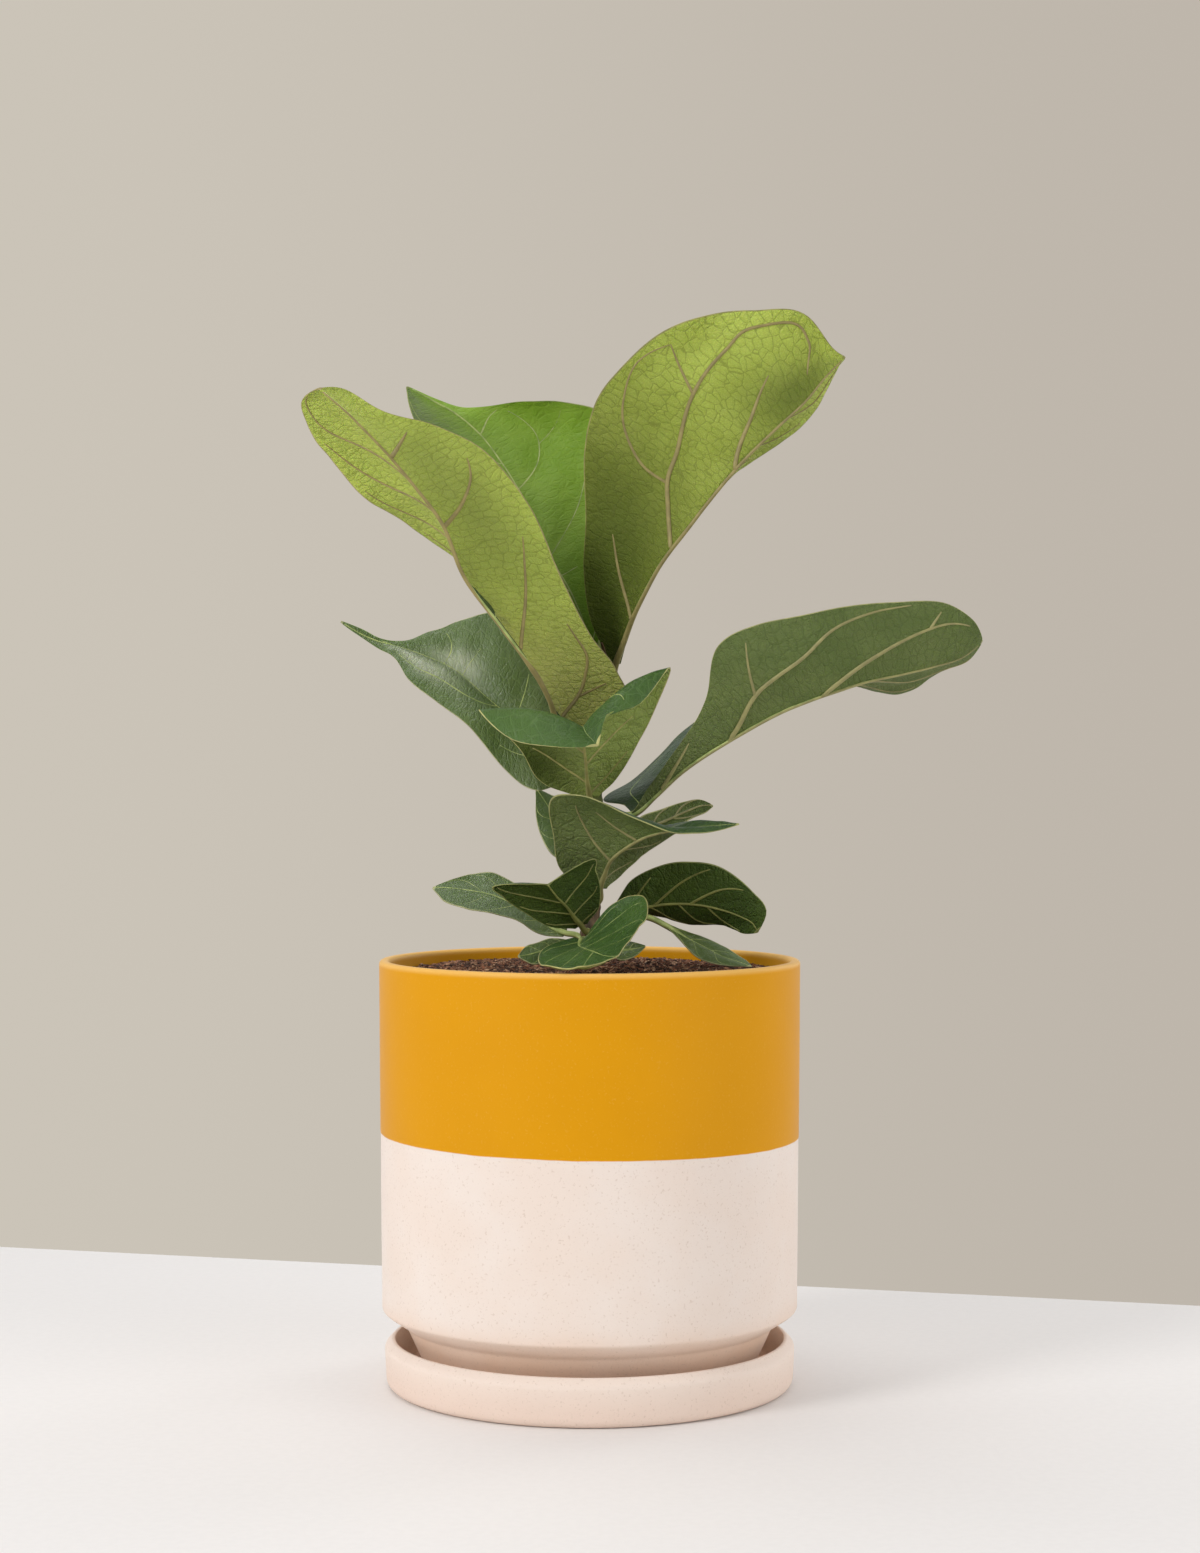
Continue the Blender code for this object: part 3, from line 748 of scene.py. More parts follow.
class Skin:
    """Gathers closed shells into one mesh, with a material, a place on the blade and numbers."""

    def __init__(self) -> None:
        """Starts with nothing."""
        self.points: list[Array] = []
        self.faces: list[Sequence[int]] = []
        self.slots: list[int] = []
        self.maps: list[Array] = []
        self.numbers: dict[str, list[Array]] = {}
        self.count = 0

    def add(
        self,
        points: Array,
        faces: Iterable[Sequence[int]],
        slots: Iterable[int],
        blade: Array | None = None,
        numbers: Mapping[str, Array] | None = None,
    ) -> None:
        """Adds one shell.

        Args:
            points: Points in millimetres, one a row.
            faces: Faces as point numbers within this shell.
            slots: Material slot of each face.
            blade: Place of each point on the flat blade, in centimetres.
            numbers: Values of each point by attribute name.
        """
        size = len(points)
        self.points.append(points)
        self.faces.extend([index + self.count for index in face] for face in faces)
        self.slots.extend(slots)
        self.maps.append(np.zeros((size, 2)) if blade is None else blade)
        names = set(self.numbers) | set(numbers or {})
        for name in names:
            held = self.numbers.setdefault(name, [np.zeros(self.count)] if self.count else [])
            held.append(np.zeros(size) if not numbers or name not in numbers else numbers[name])
        self.count += size

    def build(self, name: str, materials: Sequence[bpy.types.Material]) -> bpy.types.Object:
        """Makes the object.

        Args:
            name: Name of the piece.
            materials: Its materials in slot order.

        Returns:
            The object, smooth-shaded and in the scene.
        """
        mesh = bpy.data.meshes.new(name)
        mesh.from_pydata((np.concatenate(self.points) * MM).tolist(), [], self.faces)
        mesh.polygons.foreach_set("material_index", np.array(self.slots, np.int32))
        corners = np.empty(len(mesh.loops), np.int32)
        mesh.loops.foreach_get("vertex_index", corners)
        layer = mesh.uv_layers.new(name=BLADE_MAP)
        layer.data.foreach_set("uv", np.concatenate(self.maps)[corners].astype(np.float32).ravel())
        for key, values in self.numbers.items():
            stored = mesh.attributes.new(key, "FLOAT", "POINT")
            stored.data.foreach_set("value", np.concatenate(values).astype(np.float32))
        for material in materials:
            mesh.materials.append(material)
        mesh.shade_smooth()
        mesh.update()
        made = bpy.data.objects.new(name, mesh)
        bpy.context.scene.collection.objects.link(made)
        return made


def plain_piece(
    name: str, points: Array, faces: Sequence[Sequence[int]], material: bpy.types.Material
) -> bpy.types.Object:
    """Makes a piece of one shell and one material.

    Args:
        name: Name of the piece.
        points: Points in millimetres, one a row.
        faces: The shell's faces.
        material: Its only material.

    Returns:
        The object, smooth-shaded and in the scene.
    """
    skin = Skin()
    skin.add(points, faces, [0] * len(faces))
    return skin.build(name, [material])


def tube_faces(rings: int, sides: int) -> tuple[list[Sequence[int]], Array]:
    """Faces of a closed tube of rings of points.

    Args:
        rings: How many rings there are.
        sides: Points in each ring.

    Returns:
        The faces, and for each the number of its side, or -1 for an end.
    """
    faces: list[Sequence[int]] = [
        (
            i * sides + k,
            (i + 1) * sides + k,
            (i + 1) * sides + (k + 1) % sides,
            i * sides + (k + 1) % sides,
        )
        for i in range(rings - 1)
        for k in range(sides)
    ]
    side = np.tile(np.arange(sides), rings - 1)
    faces.append(tuple(range(sides)))
    faces.append(tuple((rings - 1) * sides + k for k in reversed(range(sides))))
    return faces, np.concatenate((side, [-1, -1]))


def tube_points(
    middle: Array, sideways: Array, upward: Array, half_width: Array, above: Array, below: Array
) -> Array:
    """Rings of an oval tube.

    Args:
        middle: The path's points.
        sideways: Direction across the tube at each point.
        upward: Direction of its upper side at each point.
        half_width: Half of its width.
        above: How far it rises above the path.
        below: How far it reaches below the path.

    Returns:
        The rings' points, ring after ring.
    """
    turn = math.tau * (np.arange(TUBE_SIDES) + 0.5) / TUBE_SIDES
    rise = ((above - below) / 2)[:, None] + ((above + below) / 2)[:, None] * np.sin(turn)
    reach = half_width[:, None] * np.cos(turn)
    rings = (
        middle[:, None] + sideways[:, None] * reach[..., None] + upward[:, None] * rise[..., None]
    )
    return rings.reshape(-1, 3)


def rounded(corners: Sequence[tuple[float, float, float]], steps: int = 8) -> list[Array]:
    """Outline through corners, each rounded by its own fillet.

    Args:
        corners: Radius, height and fillet of each corner.
        steps: Points on each fillet, less one.

    Returns:
        The outline's points as (radius, height).
    """
    outline = []
    count = len(corners)
    for index, (radius, height, fillet) in enumerate(corners):
        here = np.array((radius, height), float)
        if fillet == 0:
            outline.append(here)
            continue
        before = np.array(corners[index - 1][:2], float) - here
        after = np.array(corners[(index + 1) % count][:2], float) - here
        reach_before, reach_after = np.linalg.norm(before), np.linalg.norm(after)
        before, after = before / reach_before, after / reach_after
        half = math.acos(float(np.clip(before @ after, -1.0, 1.0))) / 2
        setback = min(fillet / math.tan(half), 0.45 * reach_before, 0.45 * reach_after)
        start, end = here + before * setback, here + after * setback
        for s in np.linspace(0.0, 1.0, steps + 1):
            outline.append((1 - s) ** 2 * start + 2 * s * (1 - s) * here + s * s * end)
    return outline


def denser(outline: Sequence[Array], step: float, closed: bool) -> Array:
    """Outline with long straight runs divided.

    Args:
        outline: Points of the outline.
        step: Longest run that is left whole.
        closed: Whether the last point joins the first.

    Returns:
        The points, one a row.
    """
    points = [np.asarray(point, float) for point in outline]
    ends = points[1:] + (points[:1] if closed else [])
    made = []
    for start, end in zip(points, ends):
        pieces = max(1, math.ceil(float(np.linalg.norm(end - start)) / step))
        made.extend(start + (end - start) * k / pieces for k in range(pieces))
    if not closed:
        made.append(points[-1])
    return np.array(made)


def turned(outline: Array, closed: bool, sides: int = 224) -> tuple[Array, list[Sequence[int]]]:
    """Turns an outline about the upright axis.

    Args:
        outline: Points as (radius, height); an open outline starts and ends on the axis.
        closed: Whether the outline is a loop clear of the axis.
        sides: Points round the axis.

    Returns:
        The points and the outward faces of a closed shell.
    """
    angles = math.tau * np.arange(sides) / sides
    body = outline if closed else outline[1:-1]
    radius, height = body[:, 0, None], body[:, 1, None]
    rings = np.stack(
        np.broadcast_arrays(radius * np.cos(angles), radius * np.sin(angles), height), axis=-1
    )
    points = rings.reshape(-1, 3)
    count = len(body)
    faces: list[Sequence[int]] = []
    for i in range(count if closed else count - 1):
        low, high = i * sides, ((i + 1) % count) * sides
        for k in range(sides):
            after = (k + 1) % sides
            faces.append((low + k, low + after, high + after, high + k))
    if not closed:
        poles = [(0.0, 0.0, outline[0, 1]), (0.0, 0.0, outline[-1, 1])]
        points = np.concatenate((points, poles))
        first, last = len(points) - 2, len(points) - 1
        end = (count - 1) * sides
        for k in range(sides):
            after = (k + 1) % sides
            faces.append((first, after, k))
            faces.append((last, end + k, end + after))
    return points, facing_out(points, faces)


def facing_out(points: Array, faces: list[Sequence[int]]) -> list[Sequence[int]]:
    """Turns a shell's faces round if they face inwards.

    Args:
        points: The shell's points.
        faces: Its faces.

    Returns:
        Faces that face outwards.
    """
    volume = 0.0
    for face in faces:
        first = points[face[0]]
        for a, b in zip(face[1:-1], face[2:]):
            volume += float(np.dot(first, np.cross(points[a], points[b])))
    return faces if volume > 0 else [tuple(reversed(face)) for face in faces]


def turned_by(angle: Array, first: Array, second: Array) -> tuple[Array, Array]:
    """Two coordinates of each row of points, turned about the third axis.

    Args:
        angle: One angle for each row.
        first: First coordinate, one row of points each.
        second: Second coordinate.

    Returns:
        Both coordinates after the turn.
    """
    cos, sin = np.cos(angle)[:, None], np.sin(angle)[:, None]
    return first * cos - second * sin, first * sin + second * cos


def smooth_noise(points: Array, size: float, seed: float = 0.0) -> Array:
    """Soft noise from about -0.7 to 0.7 at each point.

    Args:
        points: Where it is read, in millimetres.
        size: Length over which it changes.
        seed: Moves the pattern.

    Returns:
        A value for each point.
    """
    offset = Vector((seed, 0.37 * seed, -0.61 * seed))
    return np.array([noise.noise(Vector(point) / size + offset) for point in points.tolist()])


# --- plant ---------------------------------------------------------------------------------------


@dataclass(frozen=True)
class Stem:
    """The woody stem, from its foot in the soil to the papery bud at its top."""

    crown: float = 200.0
    radius: float = 4.4
    top_radius: float = 3.0
    height: float = 142.0
    in_soil: float = 23.0
    bud: float = 16.0
    lean: tuple[float, float] = (4.0, 3.0)
    step: float = 0.9
    sides: int = 40
    node_swelling: float = 0.55
    node_groove: float = 0.18
    bark_relief: float = 0.28

    def axis(self, height: Array | float) -> Array:
        """The stem's middle at heights above the crown.

        Args:
            height: One height or several.

        Returns:
            One point a row, measured from the crown.
        """
        heights = np.atleast_1d(np.asarray(height, float))
        share = np.maximum(heights, 0.0) / self.height
        return np.stack((self.lean[0] * share, self.lean[1] * share, heights), axis=-1)

    def radius_at(self, height: Array | float) -> Array | float:
        """The stem's radius at heights above the crown."""
        share = np.clip(np.asarray(height) / self.height, 0.0, 1.0)
        return self.radius + (self.top_radius - self.radius) * share

    def build(self, attach: Sequence[float]) -> bpy.types.Object:
        """Builds and dresses the stem.

        Args:
            attach: Heights of the leaves' roots, where the stem swells into nodes.

        Returns:
            The stem.
        """
        top = self.height + self.bud
        heights = np.arange(-self.in_soil, top, self.step)
        middle = self.axis(heights)
        radius = np.array(self.radius_at(heights), float)
        for node in attach:
            radius += self.node_swelling * np.exp(-(((heights - node + 1.0) / 1.6) ** 2))
            radius -= self.node_groove * np.exp(-(((heights - node - 1.8) / 0.8) ** 2))
        share = np.clip((heights - self.height) / self.bud, 0.0, 1.0)
        bulge = (1.0 + 0.35 * np.sin(math.pi * np.minimum(share * 2.2, 1.0))) * (1 - share) ** 0.75
        radius = np.where(share > 0, self.top_radius * bulge + 0.35, radius)
        angles = math.tau * np.arange(self.sides) / self.sides
        ring = np.stack((np.cos(angles), np.sin(angles), np.zeros(self.sides)), axis=-1)
        points = (middle[:, None] + ring * radius[:, None, None]).reshape(-1, 3)
        outward = np.tile(ring, (len(heights), 1))
        streaks = smooth_noise(points * (1.0, 1.0, 0.18), 1.1, 4.0)
        bark = self.bark_relief * streaks * np.repeat(share < 0.02, self.sides)
        points += outward * bark[:, None]
        points[:, 2] += self.crown
        faces, _ = tube_faces(len(heights), self.sides)
        faces = facing_out(points, faces)
        skin = Skin()
        skin.add(points, faces, [0] * len(faces))
        self.add_stipules(skin)
        papery = Rib("stipule_paper", srgb(128, 96, 58), srgb(84, 58, 34))
        piece = skin.build("stem", [Bark().material("stem_bark"), papery.material()])
        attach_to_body(piece, ROOT)
        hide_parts("stem")
        return piece

    def add_stipules(self, skin: Skin) -> None:
        """Adds the two dry, pointed scales that hold the bud.

        Args:
            skin: The stem's mesh.
        """
        length, width, thick = self.bud + 2.0, 3.1, 0.35
        along = np.linspace(0.0, 1.0, 16)
        across = np.linspace(-1.0, 1.0, 9)
        for turn in (0.4, 0.4 + math.pi):
            out = np.array((math.cos(turn), math.sin(turn), 0.0))
            side = np.array((-math.sin(turn), math.cos(turn), 0.0))
            foot = self.axis(self.height - 3.0)[0] + (0.0, 0.0, self.crown)
            lift = self.top_radius + 0.5 + 1.5 * np.sin(math.pi * along * 0.8) - 1.8 * along**2
            half = width * np.sin(math.pi * np.clip(0.12 + 0.86 * along, 0, 1)) ** 0.8 + 0.15
            grid = (
                foot
                + np.array((0.0, 0.0, 1.0)) * (length * along)[:, None, None]
                + out * (lift[:, None, None] - 0.9 * (across**2)[:, None])
                + side * (half[:, None, None] * across[:, None])
            )
            inner = grid - out * thick
            points, faces, _ = sheet_shell(grid, inner)
            faces = facing_out(points, faces)
            skin.add(points, faces, [1] * len(faces))


def sheet_shell(upper: Array, lower: Array) -> tuple[Array, list[Sequence[int]], Array]:
    """Closes two grids of points into one thin shell.

    Args:
        upper: Grid of the upper face, shaped (along, across, 3).
        lower: Grid of the lower face.

    Returns:
        The points, the faces, and for each face 0 above, 1 below or 4 on the margin.
    """
    rows, columns = upper.shape[:2]
    size = rows * columns
    points = np.concatenate((upper.reshape(-1, 3), lower.reshape(-1, 3)))
    faces: list[Sequence[int]] = []
    slots: list[int] = []
    for i in range(rows - 1):
        for j in range(columns - 1):
            a, b = i * columns + j, i * columns + j + 1
            c, d = b + columns, a + columns
            edge = j in (0, columns - 2) or i == rows - 2
            faces.append((a, b, c, d))
            slots.append(4 if edge else 0)
            faces.append((size + d, size + c, size + b, size + a))
            slots.append(4 if edge else 1)
    top, right = range(columns), range(rows)
    loop = list(top)
    loop += [i * columns + columns - 1 for i in right][1:]
    loop += [(rows - 1) * columns + j for j in reversed(top)][1:]
    loop += [i * columns for i in reversed(right)][1:-1]
    for a, b in zip(loop, loop[1:] + loop[:1]):
        faces.append((a, size + a, size + b, b))
        slots.append(4)
    return points, faces, np.array(slots)


@dataclass(frozen=True)
class Leaf:
    """One leaf: its guide stations from the crown, its large veins and how it is dressed.

    node is the frame's solid that it stands for, attach the height of its root up the stem, and
    cup how far each half arches towards the underside, as a share of its width. Each station is
    a midrib point with a left and a right margin point. A vein runs through (share of the blade's
    length, share of the half's width) points; halves without a list get regular laterals.
    """

    node: str
    dress: Tone
    attach: float
    cup: tuple[float, float]
    petiole: tuple[Point, ...]
    blade: tuple[Station, ...]
    left: tuple[VeinPath, ...] = ()
    right: tuple[VeinPath, ...] = ()
    ruffle: float = 0.9
    # Spots of painted sheen and painted shade, each as (along, across, spread, strength).
    dull: tuple[tuple[float, float, float, float], ...] = ()

    def seed(self) -> float:
        """A number that differs from leaf to leaf."""
        return 7.3 * self.attach + 1.9 * len(self.blade)

    def drawn(self) -> tuple[VeinPath, ...]:
        """The veins that have paths of their own; the regular laterals are fainter."""
        return self.left + self.right


class BladeSurface:
    """The curved surface that a leaf's blade, ribs and petiole follow."""

    def __init__(self, leaf: Leaf, stem: Stem) -> None:
        """Lays the guides from the stem to the tip."""
        self.leaf = leaf
        first, second = (np.array(leaf.blade[i], float) for i in (0, 1))
        side = unit((second[2] - second[1]) + 0.5 * (first[2] - first[1]))
        start = stem.axis(leaf.attach)[0]
        aim = np.array(leaf.petiole[0], float) - start
        aim = unit(np.array((aim[0], aim[1], PETIOLE_RISE * abs(aim[2]))))
        reach = float(stem.radius_at(leaf.attach)) - PETIOLE_SUNK
        root = start + aim * reach / math.hypot(aim[0], aim[1])
        middles = [root, *leaf.petiole]
        lefts = [-side * PETIOLE_RADIUS for _ in middles]
        rights = [side * PETIOLE_RADIUS for _ in middles]
        for middle, left, right in leaf.blade[:-1]:
            middles.append(middle)
            lefts.append(np.subtract(left, middle))
            rights.append(np.subtract(right, middle))
        last_side = unit(rights[-1] - lefts[-1])
        middles.append(leaf.blade[-1][0])
        lefts.append(-last_side * TIP_WIDTH / 2)
        rights.append(last_side * TIP_WIDTH / 2)
        self.middles = np.array(middles, float)
        self.lefts = np.array(lefts, float)
        self.rights = np.array(rights, float)
        self.times = chord_times(self.middles)
        self.base = self.times[len(leaf.petiole) + 1]
        self.length = self.times[-1] - self.base
        self.left_veins = leaf.left or self.laterals(0.02)
        self.right_veins = leaf.right or self.laterals(0.06)
        sides = np.concatenate((self.lefts, self.rights))
        self.width = float(np.linalg.norm(sides, axis=1).max())
        self.near = self.vein_tree()

    def laterals(self, start: float) -> tuple[VeinPath, ...]:
        """Regular side veins that leave the midrib and bow towards the tip.

        Args:
            start: Share of the length at which the first one leaves.

        Returns:
            The veins' paths.
        """
        count = 3 + int(self.length > 60) + int(self.length > 100) + int(self.length > 150)
        paths = []
        for k in range(count):
            at = start + 0.78 * k / count
            lean = 0.75 + 0.25 * k / count
            steps = ((0, 0), (0.07, 0.36), (0.14, 0.66), (0.21, 0.84), (0.29, 0.92))
            paths.append(tuple((min(0.97, at + s * lean), v) for s, v in steps))
        return tuple(paths)

    def dull(self, along: Array, across: Array) -> Array:
        """How strongly the spots of painted sheen and painted shade cover places on the blade, from 0
        to 1.
        """
        share = np.zeros(len(along))
        for at, side, spread, strength in self.leaf.dull:
            apart = ((along - at) / spread) ** 2 + ((across - side) / (2.2 * spread)) ** 2
            share = np.maximum(share, strength * np.exp(-apart))
        return share

    def paths(self) -> list[tuple[float, VeinPath]]:
        """The large veins with the side of the midrib each is on, -1 or 1."""
        return [(-1.0, path) for path in self.left_veins] + [
            (1.0, path) for path in self.right_veins
        ]

    def trace(self, side: float, path: VeinPath) -> tuple[Array, Array]:
        """Even points along a vein.

        Args:
            side: -1 left or 1 right of the midrib.
            path: The vein's guide points.

        Returns:
            Shares along and across the blade.
        """
        guides = np.array(path, float) * (1.0, side)
        flat = guides * (self.length, self.width)
        times = chord_times(flat)
        at = np.linspace(0.0, times[-1], max(5, int(times[-1] / VEIN_STEP)))
        shares = curve_through(times, guides, at)
        across = shares[:, 1] * side
        return np.clip(shares[:, 0], 0.0, LAST_ALONG), np.clip(across, 0.0, LAST_ACROSS) * side

    def plain(self, along: Array, across: Array) -> tuple[Array, Array]:
        """The smooth surface with no veins in it.

        Args:
            along: Shares of the blade's length; below 0 is the petiole.
            across: From -1 at the left margin to 1 at the right one.

        Returns:
            Points from the crown, and half widths.
        """
        at = self.base + along * self.length
        middle = curve_through(self.times, self.middles, at)
        left = curve_through(self.times, self.lefts, at)
        right = curve_through(self.times, self.rights, at)
        ahead = curve_through(self.times, self.middles, np.minimum(at + 0.5, self.times[-1]))
        behind = curve_through(self.times, self.middles, np.maximum(at - 0.5, 0.0))
        run = unit(ahead - behind)
        on_left = (across < 0)[:, None]
        offset = np.where(on_left, left, right)
        cup = np.where(on_left, self.leaf.cup[0], self.leaf.cup[1])
        down = np.where(on_left, unit(np.cross(offset, run)), unit(np.cross(run, offset)))
        width = np.linalg.norm(offset, axis=1, keepdims=True)
        share = np.abs(across)[:, None]
        return middle + offset * share + down * width * 4 * share * (1 - share) * cup, width[:, 0]

    def openness(self, along: Array) -> Array:
        """How far the halves are apart, from 0 where they are folded together to 1."""
        at = self.base + along * self.length
        left = unit(curve_through(self.times, self.lefts, at))
        right = unit(curve_through(self.times, self.rights, at))
        return np.clip(0.9 - 0.9 * np.sum(left * right, axis=1), 0.0, 1.0)

    def flat(self, along: Array, across: Array, width: Array) -> Array:
        """Places on the blade as if it were pressed flat, in millimetres."""
        return np.stack((along * self.length, across * width), axis=-1)

    def vein_tree(self) -> KDTree:
        """Points of all large veins, for the distance to the nearest one."""
        places = [self.flat(np.linspace(0, 1, 120), np.zeros(120), np.ones(120))]
        for side, path in self.paths():
            along, across = self.trace(side, path)
            places.append(self.flat(along, across, self.plain(along, across)[1]))
        stacked = np.concatenate(places)
        tree = KDTree(len(stacked))
        for index, place in enumerate(stacked.tolist()):
            tree.insert((*place, 0.0), index)
        tree.balance()
        return tree

    def upward(self, along: Array, across: Array) -> Array:
        """Directions out of the upper face."""
        ahead = self.plain(np.minimum(along + 0.006, 1.0), across)[0]
        behind = self.plain(along - 0.006, across)[0]
        right = self.plain(along, np.minimum(across + 0.05, 1.0))[0]
        left = self.plain(along, np.maximum(across - 0.05, -1.0))[0]
        return unit(np.cross(right - left, ahead - behind))

    def at(self, along: Array, across: Array) -> tuple[Array, Array, Array]:
        """The finished surface, puckered between its veins and waved at its margins.

        Args:
            along: Shares of the blade's length.
            across: From -1 at the left margin to 1 at the right one.

        Returns:
            Points from the crown, directions out of the upper face, and flat places on the blade.
        """
        points, width = self.plain(along, across)
        upward = self.upward(along, across)
        places = self.flat(along, across, width)
        distance = np.array([self.near.find((*place, 0.0))[2] for place in places.tolist()])
        size = min(1.0, self.width / FULL_SIZE)
        seed = self.leaf.seed()
        spread = np.column_stack((places, np.full(len(places), seed)))
        inside = np.clip(np.minimum(along, 1 - along) * 9.0, 0.0, 1.0)
        pillow = PUFF * size * (1.0 - np.exp(-((distance / (5.5 * size + 1.0)) ** 2)))
        ripple = RIPPLE * size * smooth_noise(spread, RIPPLE_LENGTH)
        ripple = ripple * np.clip(distance / 4.0, 0.0, 1.0)
        swell = SWELL * size * smooth_noise(spread, SWELL_LENGTH, 5.0)
        wave = np.sin(places[:, 0] / (7.5 + 4.0 * size) + seed + np.where(across > 0, 1.9, 0.0))
        wave = wave * self.leaf.ruffle * size * np.abs(across) ** 4
        lift = (pillow + ripple + swell + wave) * inside * self.openness(along)
        return points + upward * lift[:, None], upward, places


@dataclass(frozen=True)
class LeafMaker:
    """Builds leaves on a stem, all with one thickness of blade."""

    stem: Stem
    dressed: dict[str, list[bpy.types.Material]] = field(default_factory=dict)
    thickness: float = 0.5
    cell: float = 1.35
    margin: float = 0.55
    settle: float = 14.0  # length over which the midrib turns to the blade's upper side
    fade: float = 16.0  # length over which the petiole becomes a midrib

    def blade(self, skin: Skin, surface: BladeSurface) -> None:
        """Adds the thin closed blade.

        Args:
            skin: The leaf's mesh.
            surface: The surface it follows.
        """
        rows = int(np.clip(surface.length / self.cell, 34, 150))
        columns = int(np.clip(surface.width / self.cell, 10, 44))
        along = np.linspace(0.0, 1.0, rows)
        edge = self.margin / surface.width
        half = np.concatenate((np.linspace(0.0, 1.0 - edge, columns), [1.0]))
        across = np.concatenate((-half[:0:-1], half))
        grid_along, grid_across = np.meshgrid(along, across, indexing="ij")
        flat_along, flat_across = grid_along.ravel(), grid_across.ravel()
        points, upward, places = surface.at(flat_along, flat_across)
        shape = (rows, len(across), 3)
        lift = upward * self.thickness / 2
        upper, lower = (points + lift).reshape(shape), (points - lift).reshape(shape)
        shell, faces, slots = sheet_shell(upper, lower)
        numbers = {
            "reach": np.tile(flat_along, 2),
            "dull": np.tile(surface.dull(flat_along, flat_across), 2),
        }
        shell[:, 2] += self.stem.crown
        skin.add(shell, faces, slots.tolist(), np.tile(places / CENTIMETRE, (2, 1)), numbers)

    def rib(
        self,
        skin: Skin,
        middle: Array,
        upward: Array,
        half_width: Array,
        above: Array,
        below: Array,
    ) -> None:
        """Adds one rib or petiole as a closed tapering tube.

        Args:
            skin: The leaf's mesh.
            middle: Points of its path from the crown.
            upward: Directions of the upper face along it.
            half_width: Half widths along it.
            above: Rise above the blade's middle along it.
            below: Reach below the blade's middle along it.
        """
        run = unit(np.gradient(middle, axis=0))
        sideways = unit(np.cross(run, upward))
        upward = np.cross(sideways, run)
        points = tube_points(middle, sideways, upward, half_width, above, below)
        points[:, 2] += self.stem.crown
        faces, side = tube_faces(len(middle), TUBE_SIDES)
        turn = math.tau * (side + 1.0) / TUBE_SIDES
        slots = np.where((side >= 0) & (np.sin(turn) > 0.3), 2, 3)
        skin.add(points, faces, slots.tolist())

    def midrib(self, skin: Skin, surface: BladeSurface) -> None:
        """Adds the petiole and the midrib, one tube from the stem to the tip.

        Args:
            skin: The leaf's mesh.
            surface: The surface it follows.
        """
        start = -surface.base / surface.length
        stalk = np.linspace(start, 0.0, max(8, int(surface.base / 1.2)))[:-1]
        steps = max(30, int(surface.length / 1.6))
        along = np.concatenate((stalk, np.linspace(0.0, LAST_ALONG, steps)))
        zero = np.zeros(len(along))
        blade = np.clip(along, 0.0, 1.0)
        middle = surface.plain(along, zero)[0]
        on_blade = surface.at(blade, zero)[0]
        middle = np.where((along > 0)[:, None], on_blade, middle)
        upward = surface.upward(np.maximum(along, 0.004), zero)
        stalk_up = surface.upward(along, zero)
        join = np.clip(along * surface.length / self.settle, 0.0, 1.0)[:, None]
        upward = unit(upward * join + stalk_up * (1 - join))
        size = np.clip(surface.length / 150.0, 0.55, 1.0)
        swelling = 0.6 * np.exp(-((along - start) * surface.length / 2.4) ** 2)
        round_radius = PETIOLE_RADIUS * (0.72 + 0.28 * size) + swelling
        taper = 0.30 + 1.25 * size * (1 - blade) ** 0.9
        share = np.clip(along * surface.length / self.fade, 0.0, 1.0)
        share = share * share * (3 - 2 * share)
        half_width = round_radius * (1 - share) + taper * share
        above = round_radius * (1 - share) + (self.thickness / 2 + 0.10) * share
        below = round_radius * (1 - share) + (self.thickness / 2 + 1.0 * taper) * share
        self.rib(skin, middle, upward, half_width, above, below)

    def veins(self, skin: Skin, surface: BladeSurface) -> None:
        """Adds the large side veins.

        Args:
            skin: The leaf's mesh.
            surface: The surface they follow.
        """
        size = float(np.clip(surface.length / 170.0, 0.5, 1.0))
        for side, path in surface.paths():
            along, across = surface.trace(side, path)
            middle, upward, _ = surface.at(along, across)
            share = np.linspace(0.0, 1.0, len(along))
            branch = path[0][1] > 0.02
            strong = 0.95 - 0.45 * branch - 0.40 * (path not in surface.leaf.drawn())
            radius = strong * size * (1 - share) ** 0.6 + 0.26
            above = np.full(len(along), self.thickness / 2 + 0.06)
            self.rib(skin, middle, upward, radius, above, self.thickness / 2 + 0.75 * radius)

    def build(self, leaf: Leaf) -> bpy.types.Object:
        """Builds and dresses one leaf.

        Args:
            leaf: The leaf's plan.

        Returns:
            The finished piece, which stands for the frame's solid of that leaf.
        """
        surface = BladeSurface(leaf, self.stem)
        skin = Skin()
        self.blade(skin, surface)
        self.midrib(skin, surface)
        self.veins(skin, surface)
        if leaf.dress.name not in self.dressed:
            self.dressed[leaf.dress.name] = leaf.dress.materials()
        piece = skin.build(f"{leaf.node}_piece", self.dressed[leaf.dress.name])
        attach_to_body(piece, ROOT)
        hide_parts(leaf.node)
        return piece


